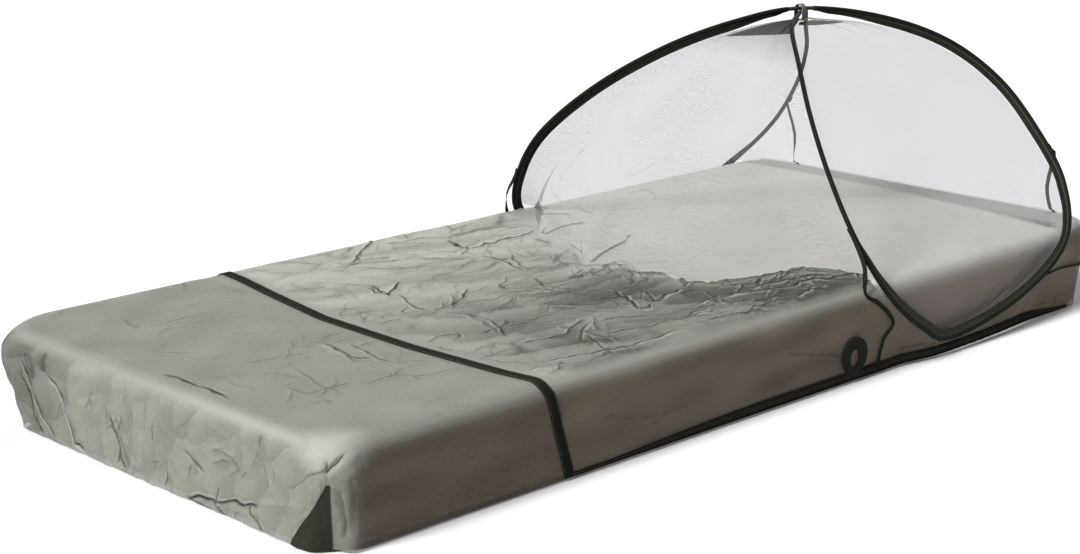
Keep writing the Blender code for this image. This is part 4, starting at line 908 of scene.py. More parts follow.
coverNetLook = {
    # colours: the thread's lighter and darker ends carry painted light and shade of the facets as well as random
    # tone; the line colour is a fold's dark line, partly painted shade; the pale one after it is a painted highlight;
    # the last is painted shade down the long sides
    "thread": "B6B8AF", "threadDark": "454740", "line": "20211C", "paintedHighlight": "D2D4CD", "sideShadeTint": "D2C2B6",
    "roughness": 0.75, "gloss": 0.08, "meshMm": 3.6,
    # how much each hides what is behind the net
    "cover": 0.60, "lineShare": 0.34, "shadeAndToneShare": 0.14, "meshShare": 0.08, "cloud": 0.09, "moire": 0.0,
    "sheer": 0.92, "paintedHighlightShare": 0.60,
}
footNetLook = dict(coverNetLook, thread="9EA097", threadDark="5A5C56", cover=0.64, paintedHighlightShare=0.36, shadeAndToneShare=0.12,
                   sheer=0.0)
domeNetLook = {
    "thread": "787A7D", "threadDark": "6C6E72", "line": "3A3C3C", "paintedHighlight": "B4B6BA", "sideShadeTint": "EADCD1",
    "roughness": 0.7, "gloss": 0.02, "meshMm": 3.6,
    "cover": 0.225, "lineShare": 0.50, "shadeAndToneShare": 0.0, "meshShare": 0.03, "cloud": 0.02, "moire": 0.015,
    "sheer": 0.0, "paintedHighlightShare": 0.10,
}
frontNetLook = dict(domeNetLook, moire=0.10)


def netMaterial(name, look):
    # knitted polyester net: see-through, denser and darker along the sharp line of a fold, which is partly painted
    # shade, with a painted highlight on a fold's lit side, painted light and shade on the facets and painted shade
    # down the long sides; the real holes are about 1.2 mm wide, drawn three times as coarse so that they just show.
    # Two layers of it also show wavy bands, drawn where "moire" isn't 0
    material, tree, shader = newMaterial(name)
    place = addNode(tree, "UVMap", {"uv_map": "cloth"})
    fold, lit, shadeAndTone, side, sheer = (addNode(tree, "Attribute", {"attribute_name": mark}, out="Fac")
                                    for mark in ("fold", "lit", "shadeAndTone", "side", "sheer"))
    line = addNode(tree, "MapRange", None, {"Value": fold, "From Min": 0.28, "From Max": 0.86})
    paintedHighlight = addNode(tree, "MapRange", softRange, {"Value": lit, "From Min": 0.22, "From Max": 0.85})
    net = meshPattern(tree, place, 2.0 * look["meshMm"] / 1000.0)
    cloud = addNode(tree, "TexNoise", None, {"Vector": place, "Scale": 9.0, "Detail": 3.0, "Roughness": 0.6})
    fine = addNode(tree, "TexNoise", None, {"Vector": place, "Scale": 130.0, "Detail": 2.0})
    denser = [(net, look["meshShare"]), (cloud, look["cloud"]), (shadeAndTone, -look["shadeAndToneShare"])]
    if look["moire"]:
        waves = addNode(tree, "TexWave", {"wave_type": "BANDS", "bands_direction": "Y"},
                        {"Vector": place, "Scale": 30.0, "Distortion": 30.0, "Detail": 1.0, "Detail Scale": 0.5},
                        "Fac")
        where = addNode(tree, "TexNoise", None, {"Vector": place, "Scale": 4.5, "Detail": 1.0})
        where = addNode(tree, "MapRange", softRange, {"Value": where, "From Min": 0.38, "From Max": 0.64})
        denser.append((addNode(tree, "Math", times, {0: waves, 1: where}), look["moire"]))
    amount = look["cover"] - 0.5 * look["cloud"]
    for value, share in denser:
        amount = addNode(tree, "Math", timesPlus, {0: value, 1: share, 2: amount})
    amount = addNode(tree, "Math", timesPlusHeld, {0: line, 1: look["lineShare"], 2: amount})
    if look["sheer"]:
        thin = addNode(tree, "Math", timesPlus, {0: sheer, 1: -look["sheer"], 2: 1.0})
        amount = addNode(tree, "Math", times, {0: amount, 1: thin})
    facing = addNode(tree, "Math", timesPlusHeld, {0: shadeAndTone, 1: 0.5, 2: 0.5})
    shine = addNode(tree, "Math", times, {0: paintedHighlight, 1: look["paintedHighlightShare"]})
    tint = look["threadDark"]
    # thread colour by painted light and shade with random tone, then painted shade on the long sides, the painted
    # highlight and the dark fold line
    for mode, share, colour in ((colourMix, facing, look["thread"]), (colourTimes, 0.25, fine),
                                (colourTimes, side, look["sideShadeTint"]), (colourMix, shine, look["paintedHighlight"]),
                                (colourMix, line, look["line"])):
        tint = addNode(tree, "Mix", mode, {0: share, 6: tint, 7: colour}, 2)
    fillIn(tree, shader, {"Alpha": amount})
    finishCloth(tree, shader, tint, fine, (0.25, 0.002), (look["roughness"], 0.02, look["gloss"]))
    return material


tapeLook = {
    "ribMm": 1.6, "roughness": 0.8,
    # edge and middle colours of the tapes whose edges are darker
    "strap": ("131410", "24251F"), "hem": ("0F100D", "37362F"),
}


def tapeMaterial(name, dark, light, edged=False, onSolid=False):
    # woven polyester tape: fine ribs across it, matt with a faint sheen; ribs drawn at 1.6 mm. An edged one
    # is darker where it is turned in and sewn, along both edges; one on a solid has its ribs up and down
    material, tree, shader = newMaterial(name)
    place = (addNode(tree, "TexCoord", out="Object") if onSolid
             else addNode(tree, "UVMap", {"uv_map": "cloth"}))
    along = addNode(tree, "SeparateXYZ", None, {0: place}, 2 if onSolid else 0)
    turn = addNode(tree, "Math", times, {0: along, 1: 2.0 * math.pi / (tapeLook["ribMm"] / 1000.0)})
    rib = addNode(tree, "Math", {"operation": "SINE"}, {0: turn})
    fuzz = addNode(tree, "TexNoise", None, {"Vector": place, "Scale": 220.0, "Detail": 3.0})
    height = addNode(tree, "Math", timesPlus, {0: rib, 1: 0.35, 2: fuzz})
    share = fuzz
    if edged:
        across = addNode(tree, "Attribute", {"attribute_name": "across"}, out="Fac")
        inner = addNode(tree, "MapRange", softRange, {"Value": across, "From Min": 0.30, "From Max": 0.75})
        share = addNode(tree, "Math", times, {0: inner, 1: fuzz})
    tint = addNode(tree, "Mix", colourMix, {0: share, 6: dark, 7: light}, 2)
    finishCloth(tree, shader, tint, height, (0.5, 0.0006), (tapeLook["roughness"], 0.01, 0.02))
    return material


coverNet = netMaterial("knittedCoverNet", coverNetLook)
footNet = netMaterial("knittedFootNet", footNetLook)
domeNet = netMaterial("knittedDomeNet", domeNetLook)
frontNet = netMaterial("knittedFrontNet", frontNetLook)
strapTape = tapeMaterial("wovenStrapTape", *tapeLook["strap"])
hemTapeCloth = tapeMaterial("foldedHemTape", *tapeLook["hem"], edged=True)
print("net and tape materials made")

# mattress

mattress = {
    # spacing of its mesh, how far it lies under the cover on top and at the sides, and its rounded lower edge
    "grid": 0.010, "underTop": 0.0030, "underSide": 0.0040, "lowEdge": 0.022,
    # the side colours are darker and browner than the top: partly the border fabric, partly painted shade
    "topSheet": "BFBEBB", "topShade": "B3B2AE", "side": "96887D", "sideLow": "86796E",
}


def makeMattress():
    # the block fills the cover, with a rounded lower edge and a flat underside
    ys = spread(-halfWidth, halfWidth, mattress["grid"])
    xs = spread(-halfLength, halfLength, mattress["grid"])
    low = mattress["lowEdge"]
    zs = np.concatenate([[0.0, 0.002, 0.005, 0.010, 0.016], spread(low, bed["top"], 0.012)])
    plain, quads, _ = boxSheet(xs, ys, zs, (-halfLength, halfLength))
    z = plain[:, 2]
    under = np.where(z > bed["top"] - 1e-6, mattress["underTop"], mattress["underSide"])
    under = under + low - np.sqrt(np.maximum(low ** 2 - np.maximum(low - z, 0.0) ** 2, 0.0))
    places = drape(*plain.T, -under, held=False)
    # a sheet is pulled over it: very soft hollows, none near the sides
    x, y = places[:, 0], places[:, 1]
    inner = smooth((halfWidth - np.abs(y)) / 0.10 - 0.3) * smooth((halfLength - np.abs(x)) / 0.10 - 0.3)
    soft = 0.0010 + 0.0009 * softNoise(x, y, 0.22, 21) + 0.0004 * softNoise(x, 2.0 * y, 0.07, 22)
    places[:, 2] -= np.where(z > bed["top"] - 1e-6, inner * np.maximum(soft, 0.0), 0.0)
    ring = np.nonzero(z < 1e-6)[0]
    middle = places[ring].mean(axis=0)
    ring = ring[np.argsort(np.arctan2(places[ring, 1] - middle[1], places[ring, 0] - middle[0]))]
    faces = [*quads, ring]

    # white cotton jersey pulled over foam, dull; the side is darker and browner below the top, partly the mattress's
    # own greyer knitted cover and partly painted shade
    material, tree, shader = newMaterial("knittedCottonSheet")
    place = addNode(tree, "TexCoord", out="Object")
    weave = addNode(tree, "TexNoise", None, {"Vector": place, "Scale": 350.0, "Detail": 2.0})
    cloud = addNode(tree, "TexNoise", None, {"Vector": place, "Scale": 6.0, "Detail": 3.0})
    height = addNode(tree, "SeparateXYZ", None, {0: place}, "Z")
    onTop = addNode(tree, "MapRange", softRange, {"Value": height, "From Min": 0.118, "From Max": 0.162})
    sideShadeTint, topTint = (addNode(tree, "Mix", colourMix, {0: cloud, 6: mattress[first], 7: mattress[second]}, 2)
                         for first, second in (("side", "sideLow"), ("topSheet", "topShade")))
    tint = addNode(tree, "Mix", colourMix, {0: onTop, 6: sideShadeTint, 7: topTint}, 2)
    finishCloth(tree, shader, tint, weave, (0.3, 0.001), (0.9, 0.1, 0.5))
    piece = makeMesh("mattressBlock", places, faces, material, mend=turnOut)
    joinPart(piece, "mattress")


makeMattress()
print("mattress made")

# the fitted cover: foot part and bed part

coverCloth = {
    # gap to the dome's base, where the side cut-outs start across the bed, and the bow of the dome's rear edge
    "clear": 0.0003, "cutOutFrom": 0.420, "rearBow": 0.030,
    # spacings of the mesh: on top up to "fineEnd" and past it, on the foot part and down the sides
    "fine": 0.0036, "fineEnd": 0.300, "coarse": 0.0080, "footGrid": 0.0030, "sideGrid": 0.0060,
    # where the top thins: behind the dome between two places along the bed, and a share and reach before it
    "behindFrom": 0.86, "behindTo": 1.000, "before": 0.42, "beforeReach": 0.100,
}
acrossBase = np.linspace(-1.0, 1.0, 61)


def footprint(end):
    # the dome's edge on the bed's surface at one end: places along the bed and across it
    near, far = (seamPoint(name, baseDown[name]) for name in endStrands[end])
    x, y = (mix(near[axis], far[axis], 0.5 * (acrossBase + 1.0)) for axis in (0, 1))
    if end == "head":
        return x + coverCloth["rearBow"] * (1.0 - acrossBase ** 2), y
    return mix(x, apronAt(y), smooth((0.90 - np.abs(acrossBase)) / 0.20)), y


def cutAlong(places, gone, where, axes, lineU, lineV, reach, closed=True):
    # says how far outside a line the places are, minus for inside, and draws the nearest ones onto it
    u, v = places[where, axes[0]], places[where, axes[1]]
    distance, nearU, nearV = toPolyline(lineU, lineV, u, v, closed)
    gone[where] = np.where(insidePolygon(lineU, lineV, u, v), -distance, distance)
    close = distance < reach
    snap = np.nonzero(where)[0][close]
    places[snap, axes[0]], places[snap, axes[1]] = nearU[close], nearV[close]
    gone[snap] = 0.0


def makeCover(name, node, xs, ys, zs, endX, material, cut):
    plain, quads, kinds = boxSheet(xs, ys, zs, (endX,))
    kept = {}

    def folds(x, y, z, onTop):
        # the dark lines (partly painted shade), painted highlights and painted light and shade with random tone are
        # kept for the material
        height, kept["fold"], kept["lit"], kept["shadeAndTone"] = coverMarks(x, y, z, onTop)
        return height

    places = drape(*plain.T, 0.0, folds)
    onTop = plain[:, 2] > bed["top"] - 1e-6
    keep = np.ones(len(quads), bool)
    if cut:
        front, frontY = footprint("foot")
        rear, rearY = footprint("head")
        clear, gone = coverCloth["clear"], np.full(len(places), 1e9)
        x, y, _ = places.T
        middle = (np.abs(y) < coverCloth["cutOutFrom"]) & onTop
        reach = np.where(x[middle] > coverCloth["fineEnd"], coverCloth["coarse"], coverCloth["fine"])
        cutAlong(places, gone, middle, (0, 1), np.concatenate([front - clear, rear[::-1] + clear]),
                 np.concatenate([frontY, rearY[::-1]]), 0.5 * reach)
        for first, side in ((0, -1), (2 * stepsDown, 1)):
            centre, _, inward, _ = hoopFrame(first + np.linspace(3.5, 2 * stepsDown - 3.5, 121))
            flatIn = unit(np.stack([inward[:, 0], inward[:, 2]], axis=-1))
            px = centre[:, 0] - flatIn[:, 0] * (hoop["bead"] + 0.0002)
            pz = centre[:, 2] - flatIn[:, 1] * (hoop["bead"] + 0.0002)
            cutAlong(places, gone, side * y >= coverCloth["cutOutFrom"], (0, 2), px, pz,
                     0.5 * coverCloth["sideGrid"], False)
        keep = gone[quads].mean(axis=1) > 1e-5
    used, faces = dropLoose(places, quads, keep)
    cloth = layFlat(plain, kinds[keep], quads[keep], endX)
    # behind the dome the top is the same sheer net as the dome's, and it thins out toward the dome's base
    x, y = plain[:, 0], plain[:, 1]
    behind = smooth((x - coverCloth["behindFrom"]) / 0.02) * smooth((coverCloth["behindTo"] - x) / 0.012)
    before = coverCloth["before"] * smooth(1.0 - (apronAt(y) - x) / coverCloth["beforeReach"])
    before = before * smooth((0.40 - np.abs(y)) / 0.06) * (x < 0.35)
    kept["sheer"] = np.where(onTop, np.maximum(behind, before), 0.0)
    # painted shade: the net down the long sides, below the top, is tinted darker and browner
    kept["side"] = (smooth((np.abs(y) - halfWidth + 0.03) / 0.03) * smooth((bed["top"] - plain[:, 2]) / 0.035)
                    * smooth((x + 0.985) / 0.07))
    marks = {title: values[used] for title, values in kept.items()}
    piece = makeMesh(name, places[used], faces, material, cloth, marks, (0.0, 0.0, 0.0))
    joinPart(piece, node)
    area = areaOf(piece)
    print(name, len(faces), "faces, area", round(area, 3))
    return piece, area


foot, fine, coarse = coverCloth["footGrid"], coverCloth["fine"], coverCloth["coarse"]
footSheet, footArea = makeCover(
    "coverFoot", "foot_cover", spread(-halfLength, strap["mean"] - 0.0002, foot),
    spread(-halfWidth, halfWidth, foot), spread(bed["hem"], bed["top"], foot), -halfLength, footNet, False)
bedXs = np.concatenate([spread(strap["mean"] + 0.0002, coverCloth["fineEnd"], fine),
                        spread(coverCloth["fineEnd"], halfLength, coarse)[1:]])
bedSheet, bedArea = makeCover(
    "coverBed", "bed_cover", bedXs, spread(-halfWidth, halfWidth, fine),
    spread(bed["hem"], bed["top"], coverCloth["sideGrid"]), halfLength, coverNet, True)
print("cover made")

# the dome's four panels

dome = {
    "sideSag": 0.016, "frontSag": 0.020, "apronStart": 0.42, "columns": 84, "frontColumns": 240,
    "middle": (0.57, 0.0, 0.2), "leastShare": 0.302,       # least part of a flat sheet that is said to show
}


def sidePanel(side, share, along):
    foot, head = ("nearFoot", "nearHead") if side < 0 else ("farFoot", "farHead")
    start = seamPoint(foot, panelDown(foot, share))
    end = seamPoint(head, panelDown(head, share))
    sag = dome["sideSag"] * 4.0 * along * (1.0 - along) * np.sin(math.pi * np.minimum(1.0, share / 2.0))
    point = mix(start, end, along[..., None])
    lean = smooth(share)
    point[..., 1] -= side * sag * lean
    point[..., 2] -= sag * (1.0 - lean)
    return point


def endPanel(end, share, across):
    near, far = (seamPoint(name, panelDown(name, share)) for name in endStrands[end])
    point = mix(near, far, across[..., None])
    base = np.interp(2.0 * across - 1.0, acrossBase, footprint(end)[0])
    nearBase, farBase = (seamPoint(name, baseDown[name]) for name in endStrands[end])
    pull = base - mix(nearBase[0], farBase[0], across)
    start = dome["apronStart"] if end == "foot" else 0.0
    point[..., 0] += pull * smooth((share - start) / (1.0 - start))
    sag = dome["frontSag"] * 4.0 * across * (1.0 - across) * np.sin(math.pi * share)
    point[..., 0] += sag * (1.0 if end == "foot" else -1.0)
    point[..., 2] = np.where(share >= 1.0, hoop["base"], point[..., 2])
    return point


def makePanel(name, node, shape, shares, ripple, material=domeNet, columns=dome["columns"]):
    across, share = np.meshgrid(np.linspace(0.0, 1.0, columns), shares)
    points = shape(share, across)
    along = np.gradient(points, axis=1)
    down = np.gradient(points, axis=0)
    facing = unit(np.cross(along, down))
    rise, mark = ripple(share, across)
    points = points + facing * rise[..., None]
    quads = gridQuads(*share.shape)
    widths = np.linalg.norm(np.diff(points, axis=1), axis=-1).mean(axis=0)
    heights = np.linalg.norm(np.diff(points, axis=0), axis=-1).mean(axis=1)
    flatU = np.concatenate([[0.0], np.cumsum(widths)])
    flatV = np.concatenate([[0.0], np.cumsum(heights)])
    cloth = np.stack(np.meshgrid(flatU, flatV), axis=-1).reshape(-1, 2)[quads]
    marks = {"fold": mark, "lit": np.zeros(mark.shape), "shadeAndTone": np.zeros(mark.shape)}
    piece = makeMesh(name, points.reshape(-1, 3), quads, material, cloth, marks, dome["middle"], mergeDoubles)
    joinPart(piece, node)


def tautRipple(seed, amount):
    def ripple(share, across):
        hold = smooth(across / 0.12) * smooth((1.0 - across) / 0.12) * smooth(share / 0.15)
        wave = softNoise(2.2 * across, 0.5 * share, 0.16, seed) * amount
        return wave * hold, 0.25 * smooth(np.abs(wave) / amount - 0.55) * hold
    return ripple


def frontRipple(share, across):
    # folds that fan up from the gathered base
    hold = smooth(across / 0.06) * smooth((1.0 - across) / 0.06)
    low = smooth((share - 0.45) / 0.5) * smooth((1.0 - share) / 0.03)
    fan = softNoise(5.0 * across + 0.5 * share, 0.15 * share, 0.30, 31)
    rise = 0.004 * fan * low * hold + 0.0018 * softNoise(2.0 * across, 0.5 * share, 0.2, 32) * hold
    pull, dark, bright = (np.zeros(share.size) for _ in range(3))
    addCreases(0.80 * across.ravel(), 0.60 * share.ravel(), creases["front"], foldLook["frontReach"],
               pull, dark, bright)
    rise += pull.reshape(share.shape) * hold * smooth((1.0 - share) / 0.03)
    mark = np.maximum(0.30 * smooth((fan - 0.35) / 0.5) * low, dark.reshape(share.shape)) * hold
    # darker toward the crossing, most of all on the near side: partly the net gathered denser, partly painted shade
    # under the gusset
    return rise, np.maximum(mark, (0.88 - 0.20 * across) * smooth(1.0 - share / 0.56))


def makeDome():
    upper = np.linspace(0.0, 1.0, 64)
    lower = np.linspace(1.0, 2.0, 34)[1:]
    whole = np.concatenate([upper, lower])
    gathered = np.concatenate([np.linspace(0.0, 0.68, 34)[:-1], np.linspace(0.68, 1.0, 66)])
    makePanel("domeNearSide", "dome_near_side", lambda s, a: sidePanel(-1, s, a), whole,
              tautRipple(41, 0.0018))
    makePanel("domeFarSide", "dome_far_side", lambda s, a: sidePanel(1, s, a), whole,
              tautRipple(42, 0.0018))
    makePanel("domeHead", "dome_head", lambda s, a: endPanel("head", s, a), upper,
              tautRipple(43, 0.0022))
    makePanel("domeFront", "dome_front", lambda s, a: endPanel("foot", s, a), gathered, frontRipple,
              frontNet, dome["frontColumns"])


makeDome()
print("dome made")

# sleeves and the bare rod

sleeveLook = {"stations": 220, "beadSides": 14, "bead": "10110D", "line": "36382A", "band": "171813",
              "lowBand": "303225", "edge": "0C0D0A"}


def loft(name, rings, material, marks):
    # a closed tube through equal rings of places, capped at both ends
    rings = np.asarray(rings)
    count, sides = rings.shape[:2]
    number = np.arange(count * sides).reshape(count, sides)
    after = np.roll(number, -1, axis=1)
    quads = np.stack([number[:-1], after[:-1], after[1:], number[1:]], axis=-1).reshape(-1, 4)
    faces = [*quads, number[0][::-1], number[-1]]
    length = np.concatenate([[0.0], np.cumsum(np.linalg.norm(np.diff(rings.mean(axis=1), axis=0), axis=-1))])
    around, along = np.meshgrid(np.linspace(0.0, 0.04, sides + 1), length)
    place = np.stack([along, around], axis=-1)
    flat = np.stack([place[:-1, :-1], place[:-1, 1:], place[1:, 1:], place[1:, :-1]], axis=2).reshape(-1, 2)
    flat = np.concatenate([flat, np.zeros((2 * sides, 2))])          # the caps
    marks = {title: np.broadcast_to(values, (count, sides)) for title, values in marks.items()}
    return makeMesh(name, rings.reshape(-1, 3), faces, material, flat, marks, mend=turnOut)


def sleeveMaterial():
    # doubled polyester tape: near black at the bead and the sewn edge, olive where it is one layer
    material, tree, shader = newMaterial("doubledSleeveTape")
    place = addNode(tree, "UVMap", {"uv_map": "cloth"})
    across, low = (addNode(tree, "Attribute", {"attribute_name": mark}, out="Fac") for mark in ("across", "low"))
    bands = []
    for band in (sleeveLook["band"], sleeveLook["lowBand"]):
        ramp = addNode(tree, "ValToRGB", None, {"Fac": across}, None)
        stops = ramp.color_ramp
        stops.elements[0].position, stops.elements[0].color = 0.0, linear(sleeveLook["bead"])
        stops.elements[1].position, stops.elements[1].color = 1.0, linear(sleeveLook["edge"])
        for position, colour in ((0.20, sleeveLook["bead"]), (0.27, sleeveLook["line"]), (0.36, sleeveLook["line"]),
                                 (0.44, band), (0.82, band), (0.90, sleeveLook["edge"])):
            stops.elements.new(position).color = linear(colour)
        bands.append(ramp.outputs["Color"])
    colour = addNode(tree, "Mix", colourMix, {0: low, 6: bands[0], 7: bands[1]}, 2)
    fuzz = addNode(tree, "TexNoise", None, {"Vector": place, "Scale": 260.0, "Detail": 3.0})
    tint = addNode(tree, "Mix", colourTimes, {0: 0.35, 6: colour, 7: fuzz}, 2)
    finishCloth(tree, shader, tint, fuzz, (0.4, 0.0006), (0.7, 0.02, 0.12))
    return material


sleeveTape = sleeveMaterial()


def finWidth(down):
    # the sewn edge is cut away toward the crossing
    wide = mix(hoop["finAtTop"], hoop["fin"], smooth((down - 0.05) / 0.10))
    return mix(hoop["finAtEnd"], wide, smooth((down - 0.022) / 0.030))


def finSag(steps, first):
    # the fin hangs a little to one side
    return 0.0009 * softNoise(steps * 0.9, steps * 0.0, 0.6, 51 + first)


def makeSleeve(name, node, side):
    first = 0 if side < 0 else 2 * stepsDown
    bare = hoop["bareSteps"]
    steps = np.linspace(first + bare, first + 2 * stepsDown - bare, sleeveLook["stations"])
    centre, ahead, inward, down = hoopFrame(steps)
    across = unit(np.cross(ahead, inward))
    fin = finWidth(down)
    half = 0.5 * hoop["finThickness"]
    bead = hoop["bead"]
    root = math.sqrt(bead ** 2 - half ** 2)
    sides = sleeveLook["beadSides"]
    beadTurns = np.radians(np.linspace(22, 338, sides))
    rings, sag = [], finSag(steps, first)

    def onFin(i, share, face):
        reach = mix(root, fin[i], share) if share < 1.0 else fin[i]
        return centre[i] + inward[i] * reach + across[i] * (face * half + sag[i] * share)

    for i in range(len(steps)):
        ring = [onFin(i, 1.0, -1), onFin(i, 1.0, 1), onFin(i, 0.72, 1), onFin(i, 0.40, 1)]
        ring += [centre[i] + inward[i] * bead * math.cos(turn) + across[i] * bead * math.sin(turn)
                 for turn in beadTurns]
        rings.append(ring + [onFin(i, 0.40, -1), onFin(i, 0.72, -1)])
    # from the bead at 0 to the sewn edge at 1, for the material
    attribute = [1.0, 1.0, 0.78, 0.52, 0.22] + [0.0] * (sides - 2) + [0.22, 0.52, 0.78]
    low = smooth((down - 0.70) / 0.12)
    joinPart(loft(name, rings, sleeveTape, {"across": np.array(attribute), "low": low[:, None]}), node)


makeSleeve("nearSleeve", "near_sleeve", -1)
makeSleeve("farSleeve", "far_sleeve", 1)
print("sleeves made")

# tapes on the cover: the strap and the hem tapes, which are narrow at the strap's foot and at their end

hemTape = {"end": 0.878, "narrow": 0.010, "widensOver": 0.55, "narrowsFrom": 0.72, "narrowsOver": 0.158,
           "thickness": 0.001, "lift": 0.0008}


def surfaceTape(name, node, edge, middle, otherEdge, thickness, lift, material):
    # a flat tape on the cover; each of its three lines is a function that gives its places at a lift
    high = lift + thickness
    rings = np.stack([edge(high), middle(high + 0.0002), otherEdge(high), otherEdge(lift), middle(lift), edge(lift)],
                     axis=1)
    joinPart(loft(name, rings, material, {"across": np.array([0.0, 1.0, 0.0, 0.0, 1.0, 0.0])}), node)


def strapPath(spacing):
    # up the far side, over the top and down the near side
    zs, ys = spread(bed["hem"], bed["top"], spacing), spread(halfWidth, -halfWidth, spacing)
    side = np.full(len(zs) - 1, halfWidth)
    return np.concatenate([side, ys, -side]), np.concatenate([zs[:-1], np.full(len(ys), bed["top"]), zs[::-1][1:]])


def makeCrossStrap():
    y, z = strapPath(0.006)
    half = strap["halfWidth"]

    def along(offset):
        return lambda lift: drape(np.full(len(y), strap["mean"] + offset), y, z, lift, coverFolds)

    surfaceTape("crossStrap", "cross_strap", along(-half), along(0.0), along(half), strap["thickness"],
                strap["lift"], strapTape)


def hemTapeSpan():
    # places along the tape and the height of its upper edge
    xs = spread(strap["mean"] + strap["halfWidth"] + 0.002, hemTape["end"], 0.006)
    high = mix(hemTape["narrow"], bed["hemTop"], smooth((xs - xs[0]) / hemTape["widensOver"]))
    return xs, mix(high, hemTape["narrow"], smooth((xs - hemTape["narrowsFrom"]) / hemTape["narrowsOver"]))


def makeHemTape(name, node, side):
    xs, high = hemTapeSpan()

    def along(z):
        return lambda lift: drape(xs, np.full(len(xs), side * halfWidth), z, lift, coverFolds)

    low = np.full(len(xs), bed["hem"])
    surfaceTape(name, node, along(low), along(0.5 * (low + high)), along(high), hemTape["thickness"],
                hemTape["lift"], hemTapeCloth)


makeCrossStrap()
makeHemTape("nearHemTape", "near_hem_tape", -1)
makeHemTape("farHemTape", "far_hem_tape", 1)
print("tapes made")

# stitches, laid along the seams by one node tree

stitchLook = {"Spacing": 0.0052, "Length": 0.0017, "Radius": 0.00042, "Seed": 5, "inset": 0.0022,
              "thread": "33352C", "threadWorn": "4A4C41"}


def threadMaterial():
    # waxed polyester sewing thread: darker in its twist, a little gloss
    material, tree, shader = newMaterial("waxedSewingThread")
    place = addNode(tree, "TexCoord", out="Object")
    twist = addNode(tree, "TexNoise", None, {"Vector": place, "Scale": 900.0, "Detail": 1.0})
    tint = addNode(tree, "Mix", colourMix, {0: twist, 6: stitchLook["thread"], 7: stitchLook["threadWorn"]}, 2)
    fillIn(tree, shader, {"Base Color": tint, "Roughness": 0.5})
    return material


def stitchTree():
    tree = bpy.data.node_groups.new("stitchRow", "GeometryNodeTree")
    for title, kind in (("Geometry", "Geometry"), ("Spacing", "Float"), ("Length", "Float"), ("Radius", "Float"),
                        ("Seed", "Int"), ("Material", "Material")):
        tree.interface.new_socket(title, in_out="INPUT", socket_type="NodeSocket" + kind)
    tree.interface.new_socket("Geometry", in_out="OUTPUT", socket_type="NodeSocketGeometry")
    given = tree.nodes.new("NodeGroupInput").outputs
    seam = addNode(tree, "GeometryNodeMeshToCurve", None, {"Mesh": given["Geometry"]})
    spots = addNode(tree, "GeometryNodeCurveToPoints", {"mode": "LENGTH"},
                    {"Curve": seam, "Length": given["Spacing"]}, None)
    ball = addNode(tree, "GeometryNodeMeshIcoSphere", None, {"Radius": 1.0, "Subdivisions": 1})
    size = addNode(tree, "CombineXYZ", None, {"X": given["Radius"], "Y": given["Radius"], "Z": given["Length"]})
    stitch = addNode(tree, "GeometryNodeTransform", None, {"Geometry": ball, "Scale": size})
    # some stitches are pulled a little tighter: 2 and 3 are the least and the most
    pull = addNode(tree, "FunctionNodeRandomValue", {"data_type": "FLOAT"},
                   {"Seed": given["Seed"], 2: 0.85, 3: 1.10}, 1)
    laid = addNode(tree, "GeometryNodeInstanceOnPoints", None,
                   {"Points": spots.outputs["Points"], "Instance": stitch, "Rotation": spots.outputs["Rotation"],
                    "Scale": pull})
    real = addNode(tree, "GeometryNodeRealizeInstances", None, {"Geometry": laid})
    done = addNode(tree, "GeometryNodeSetMaterial", None, {"Geometry": real, "Material": given["Material"]})
    tree.links.new(done, tree.nodes.new("NodeGroupOutput").inputs["Geometry"])
    return tree


def seamLines():
    # the seams as lines of places: both faces of the sleeves' sewn edge, the strap's and the hem tapes' edges
    lines = []
    steps = np.linspace(0.45, 2 * stepsDown - 0.45, 300)
    for first in (0, 2 * stepsDown):
        centre, ahead, inward, down = hoopFrame(first + steps)
        across = unit(np.cross(ahead, inward))
        fin = finWidth(down) - stitchLook["inset"]
        sag = finSag(first + steps, first)
        for side in (-1.0, 1.0):
            off = side * 0.5 * hoop["finThickness"] + sag
            lines.append(centre + inward * fin[:, None] + across * off[:, None])
    y, z = strapPath(0.004)
    for way in (-1.0, 1.0):
        x = np.full(len(y), strap["mean"] + way * (strap["halfWidth"] - stitchLook["inset"]))
        lines.append(drape(x, y, z, strap["thickness"] + 0.0007, coverFolds))
    for side in (-1.0, 1.0):
        xs, high = hemTapeSpan()
        lines.append(drape(xs, np.full(len(xs), side * halfWidth), high - stitchLook["inset"], 0.0019,
                           coverFolds))
    return lines


def makeStitches():
    places, edges = [], []
    for line in seamLines():
        edges += [(len(places) + i, len(places) + i + 1) for i in range(len(line) - 1)]
        places += [tuple(point) for point in line]
    mesh = bpy.data.meshes.new("stitches")
    mesh.from_pydata(places, edges, [])
    piece = bpy.data.objects.new("stitches", mesh)
    bpy.context.scene.collection.objects.link(piece)
    tree = stitchTree()
    values = dict(stitchLook, Material=threadMaterial())
    modifier = piece.modifiers.new("stitchRow", "NODES")
    modifier.node_group = tree
    for item in tree.interface.items_tree:
        if item.in_out == "INPUT" and item.name in values:
            modifier[item.identifier] = values[item.name]
    graph = bpy.context.evaluated_depsgraph_get()
    baked = bpy.data.meshes.new_from_object(piece.evaluated_get(graph), depsgraph=graph)
    piece.modifiers.remove(modifier)
    piece.data = baked
    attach(piece, "root")
    print("stitches", len(baked.polygons), "faces")


makeStitches()

# corner patch and small trims

cornerPatch = {"top": 0.106, "left": -0.366, "leftAtTop": -0.440, "lift": 0.0012, "rows": 26, "columns": 18,
               "colours": ("1F211B", "30322B")}


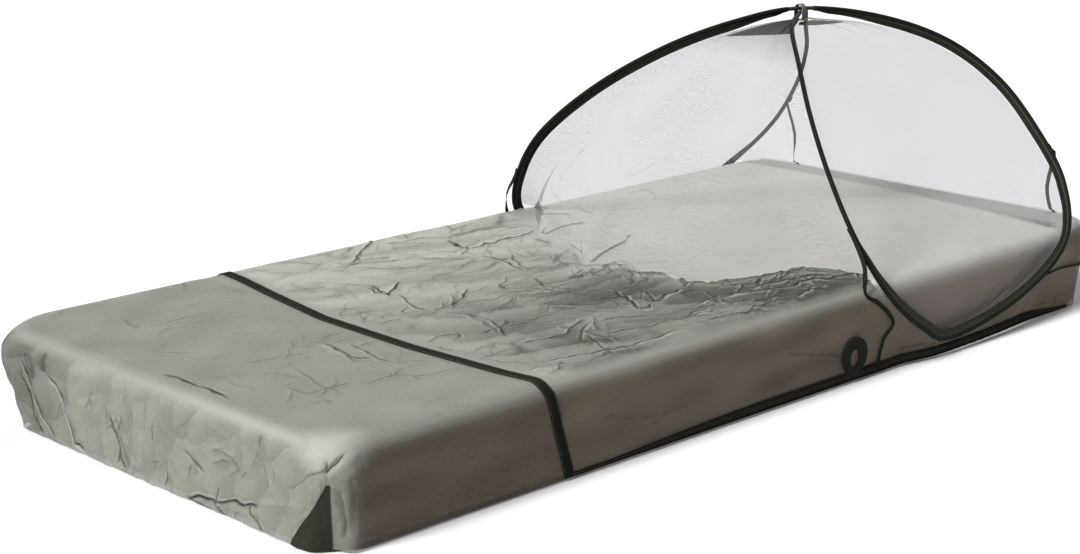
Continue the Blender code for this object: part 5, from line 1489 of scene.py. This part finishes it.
def makeCornerPatch():
    # a triangle of doubled cloth let in at the near foot corner, point up, over the cover's folds
    share, along = np.meshgrid(np.linspace(0, 1, cornerPatch["rows"]), np.linspace(0, 1, cornerPatch["columns"]),
                               indexing="ij")
    z = mix(bed["hem"], cornerPatch["top"], share)
    y = mix(mix(cornerPatch["left"], cornerPatch["leftAtTop"], share), -halfWidth, along)
    points = drape(np.full(z.shape, -halfLength), y, z, cornerPatch["lift"], coverFolds)
    quads = gridQuads(*z.shape)
    flat = np.stack([y, z], axis=-1).reshape(-1, 2)[quads]
    material = tapeMaterial("doubledPatchCloth", *cornerPatch["colours"])
    piece = makeMesh("cornerPatch", points.reshape(-1, 3), quads, material, flat, None, (0.0, 0.0, 0.0))
    joinPart(piece, "corner_patch")


makeCornerPatch()

# the small trims keep their solids' shapes: woven tapes, and the bare rod where the loops cross
trims = {
    "wovenTabTape": (("apex_tab",), ("5B5D50", "747668")),
    "wovenSideGusset": (("side_gusset",), ("45473B", "585A4D")),
    "wovenFrontGusset": (("front_gusset",), ("181A15", "262822")),
    "wovenTieTape": (("near_foot_tie", "near_head_tie", "far_foot_tie", "far_head_tie", "corner_tape"),
                     ("141510", "25271F")),
    "wovenLoopWebbing": (("side_loop",), ("1A1B17", "2E302A")),
}
rodLook = {"dark": "1E1F1D", "light": "343532", "metallic": 0.35, "roughness": 0.42}


def rodMaterial():
    # steel rod with a dark satin coating, faintly clouded
    material, tree, shader = newMaterial("satinCoatedRod")
    place = addNode(tree, "TexCoord", out="Object")
    cloud = addNode(tree, "TexNoise", None, {"Vector": place, "Scale": 45.0, "Detail": 3.0})
    tint = addNode(tree, "Mix", colourMix, {0: cloud, 6: rodLook["dark"], 7: rodLook["light"]}, 2)
    fillIn(tree, shader, {"Base Color": tint, "Metallic": rodLook["metallic"], "Roughness": rodLook["roughness"]})
    return material


def dressNodes(names, material):
    for name in names:
        thing = bpy.data.objects[name]
        if not thing.material_slots:
            thing.data.materials.append(material)
        for slot in thing.material_slots:
            slot.material = material


for name, (nodes, colours) in trims.items():
    dressNodes(nodes, tapeMaterial(name, *colours, onSolid=True))
dressNodes(("rod_upper", "rod_lower"), rodMaterial())
print("trims dressed")
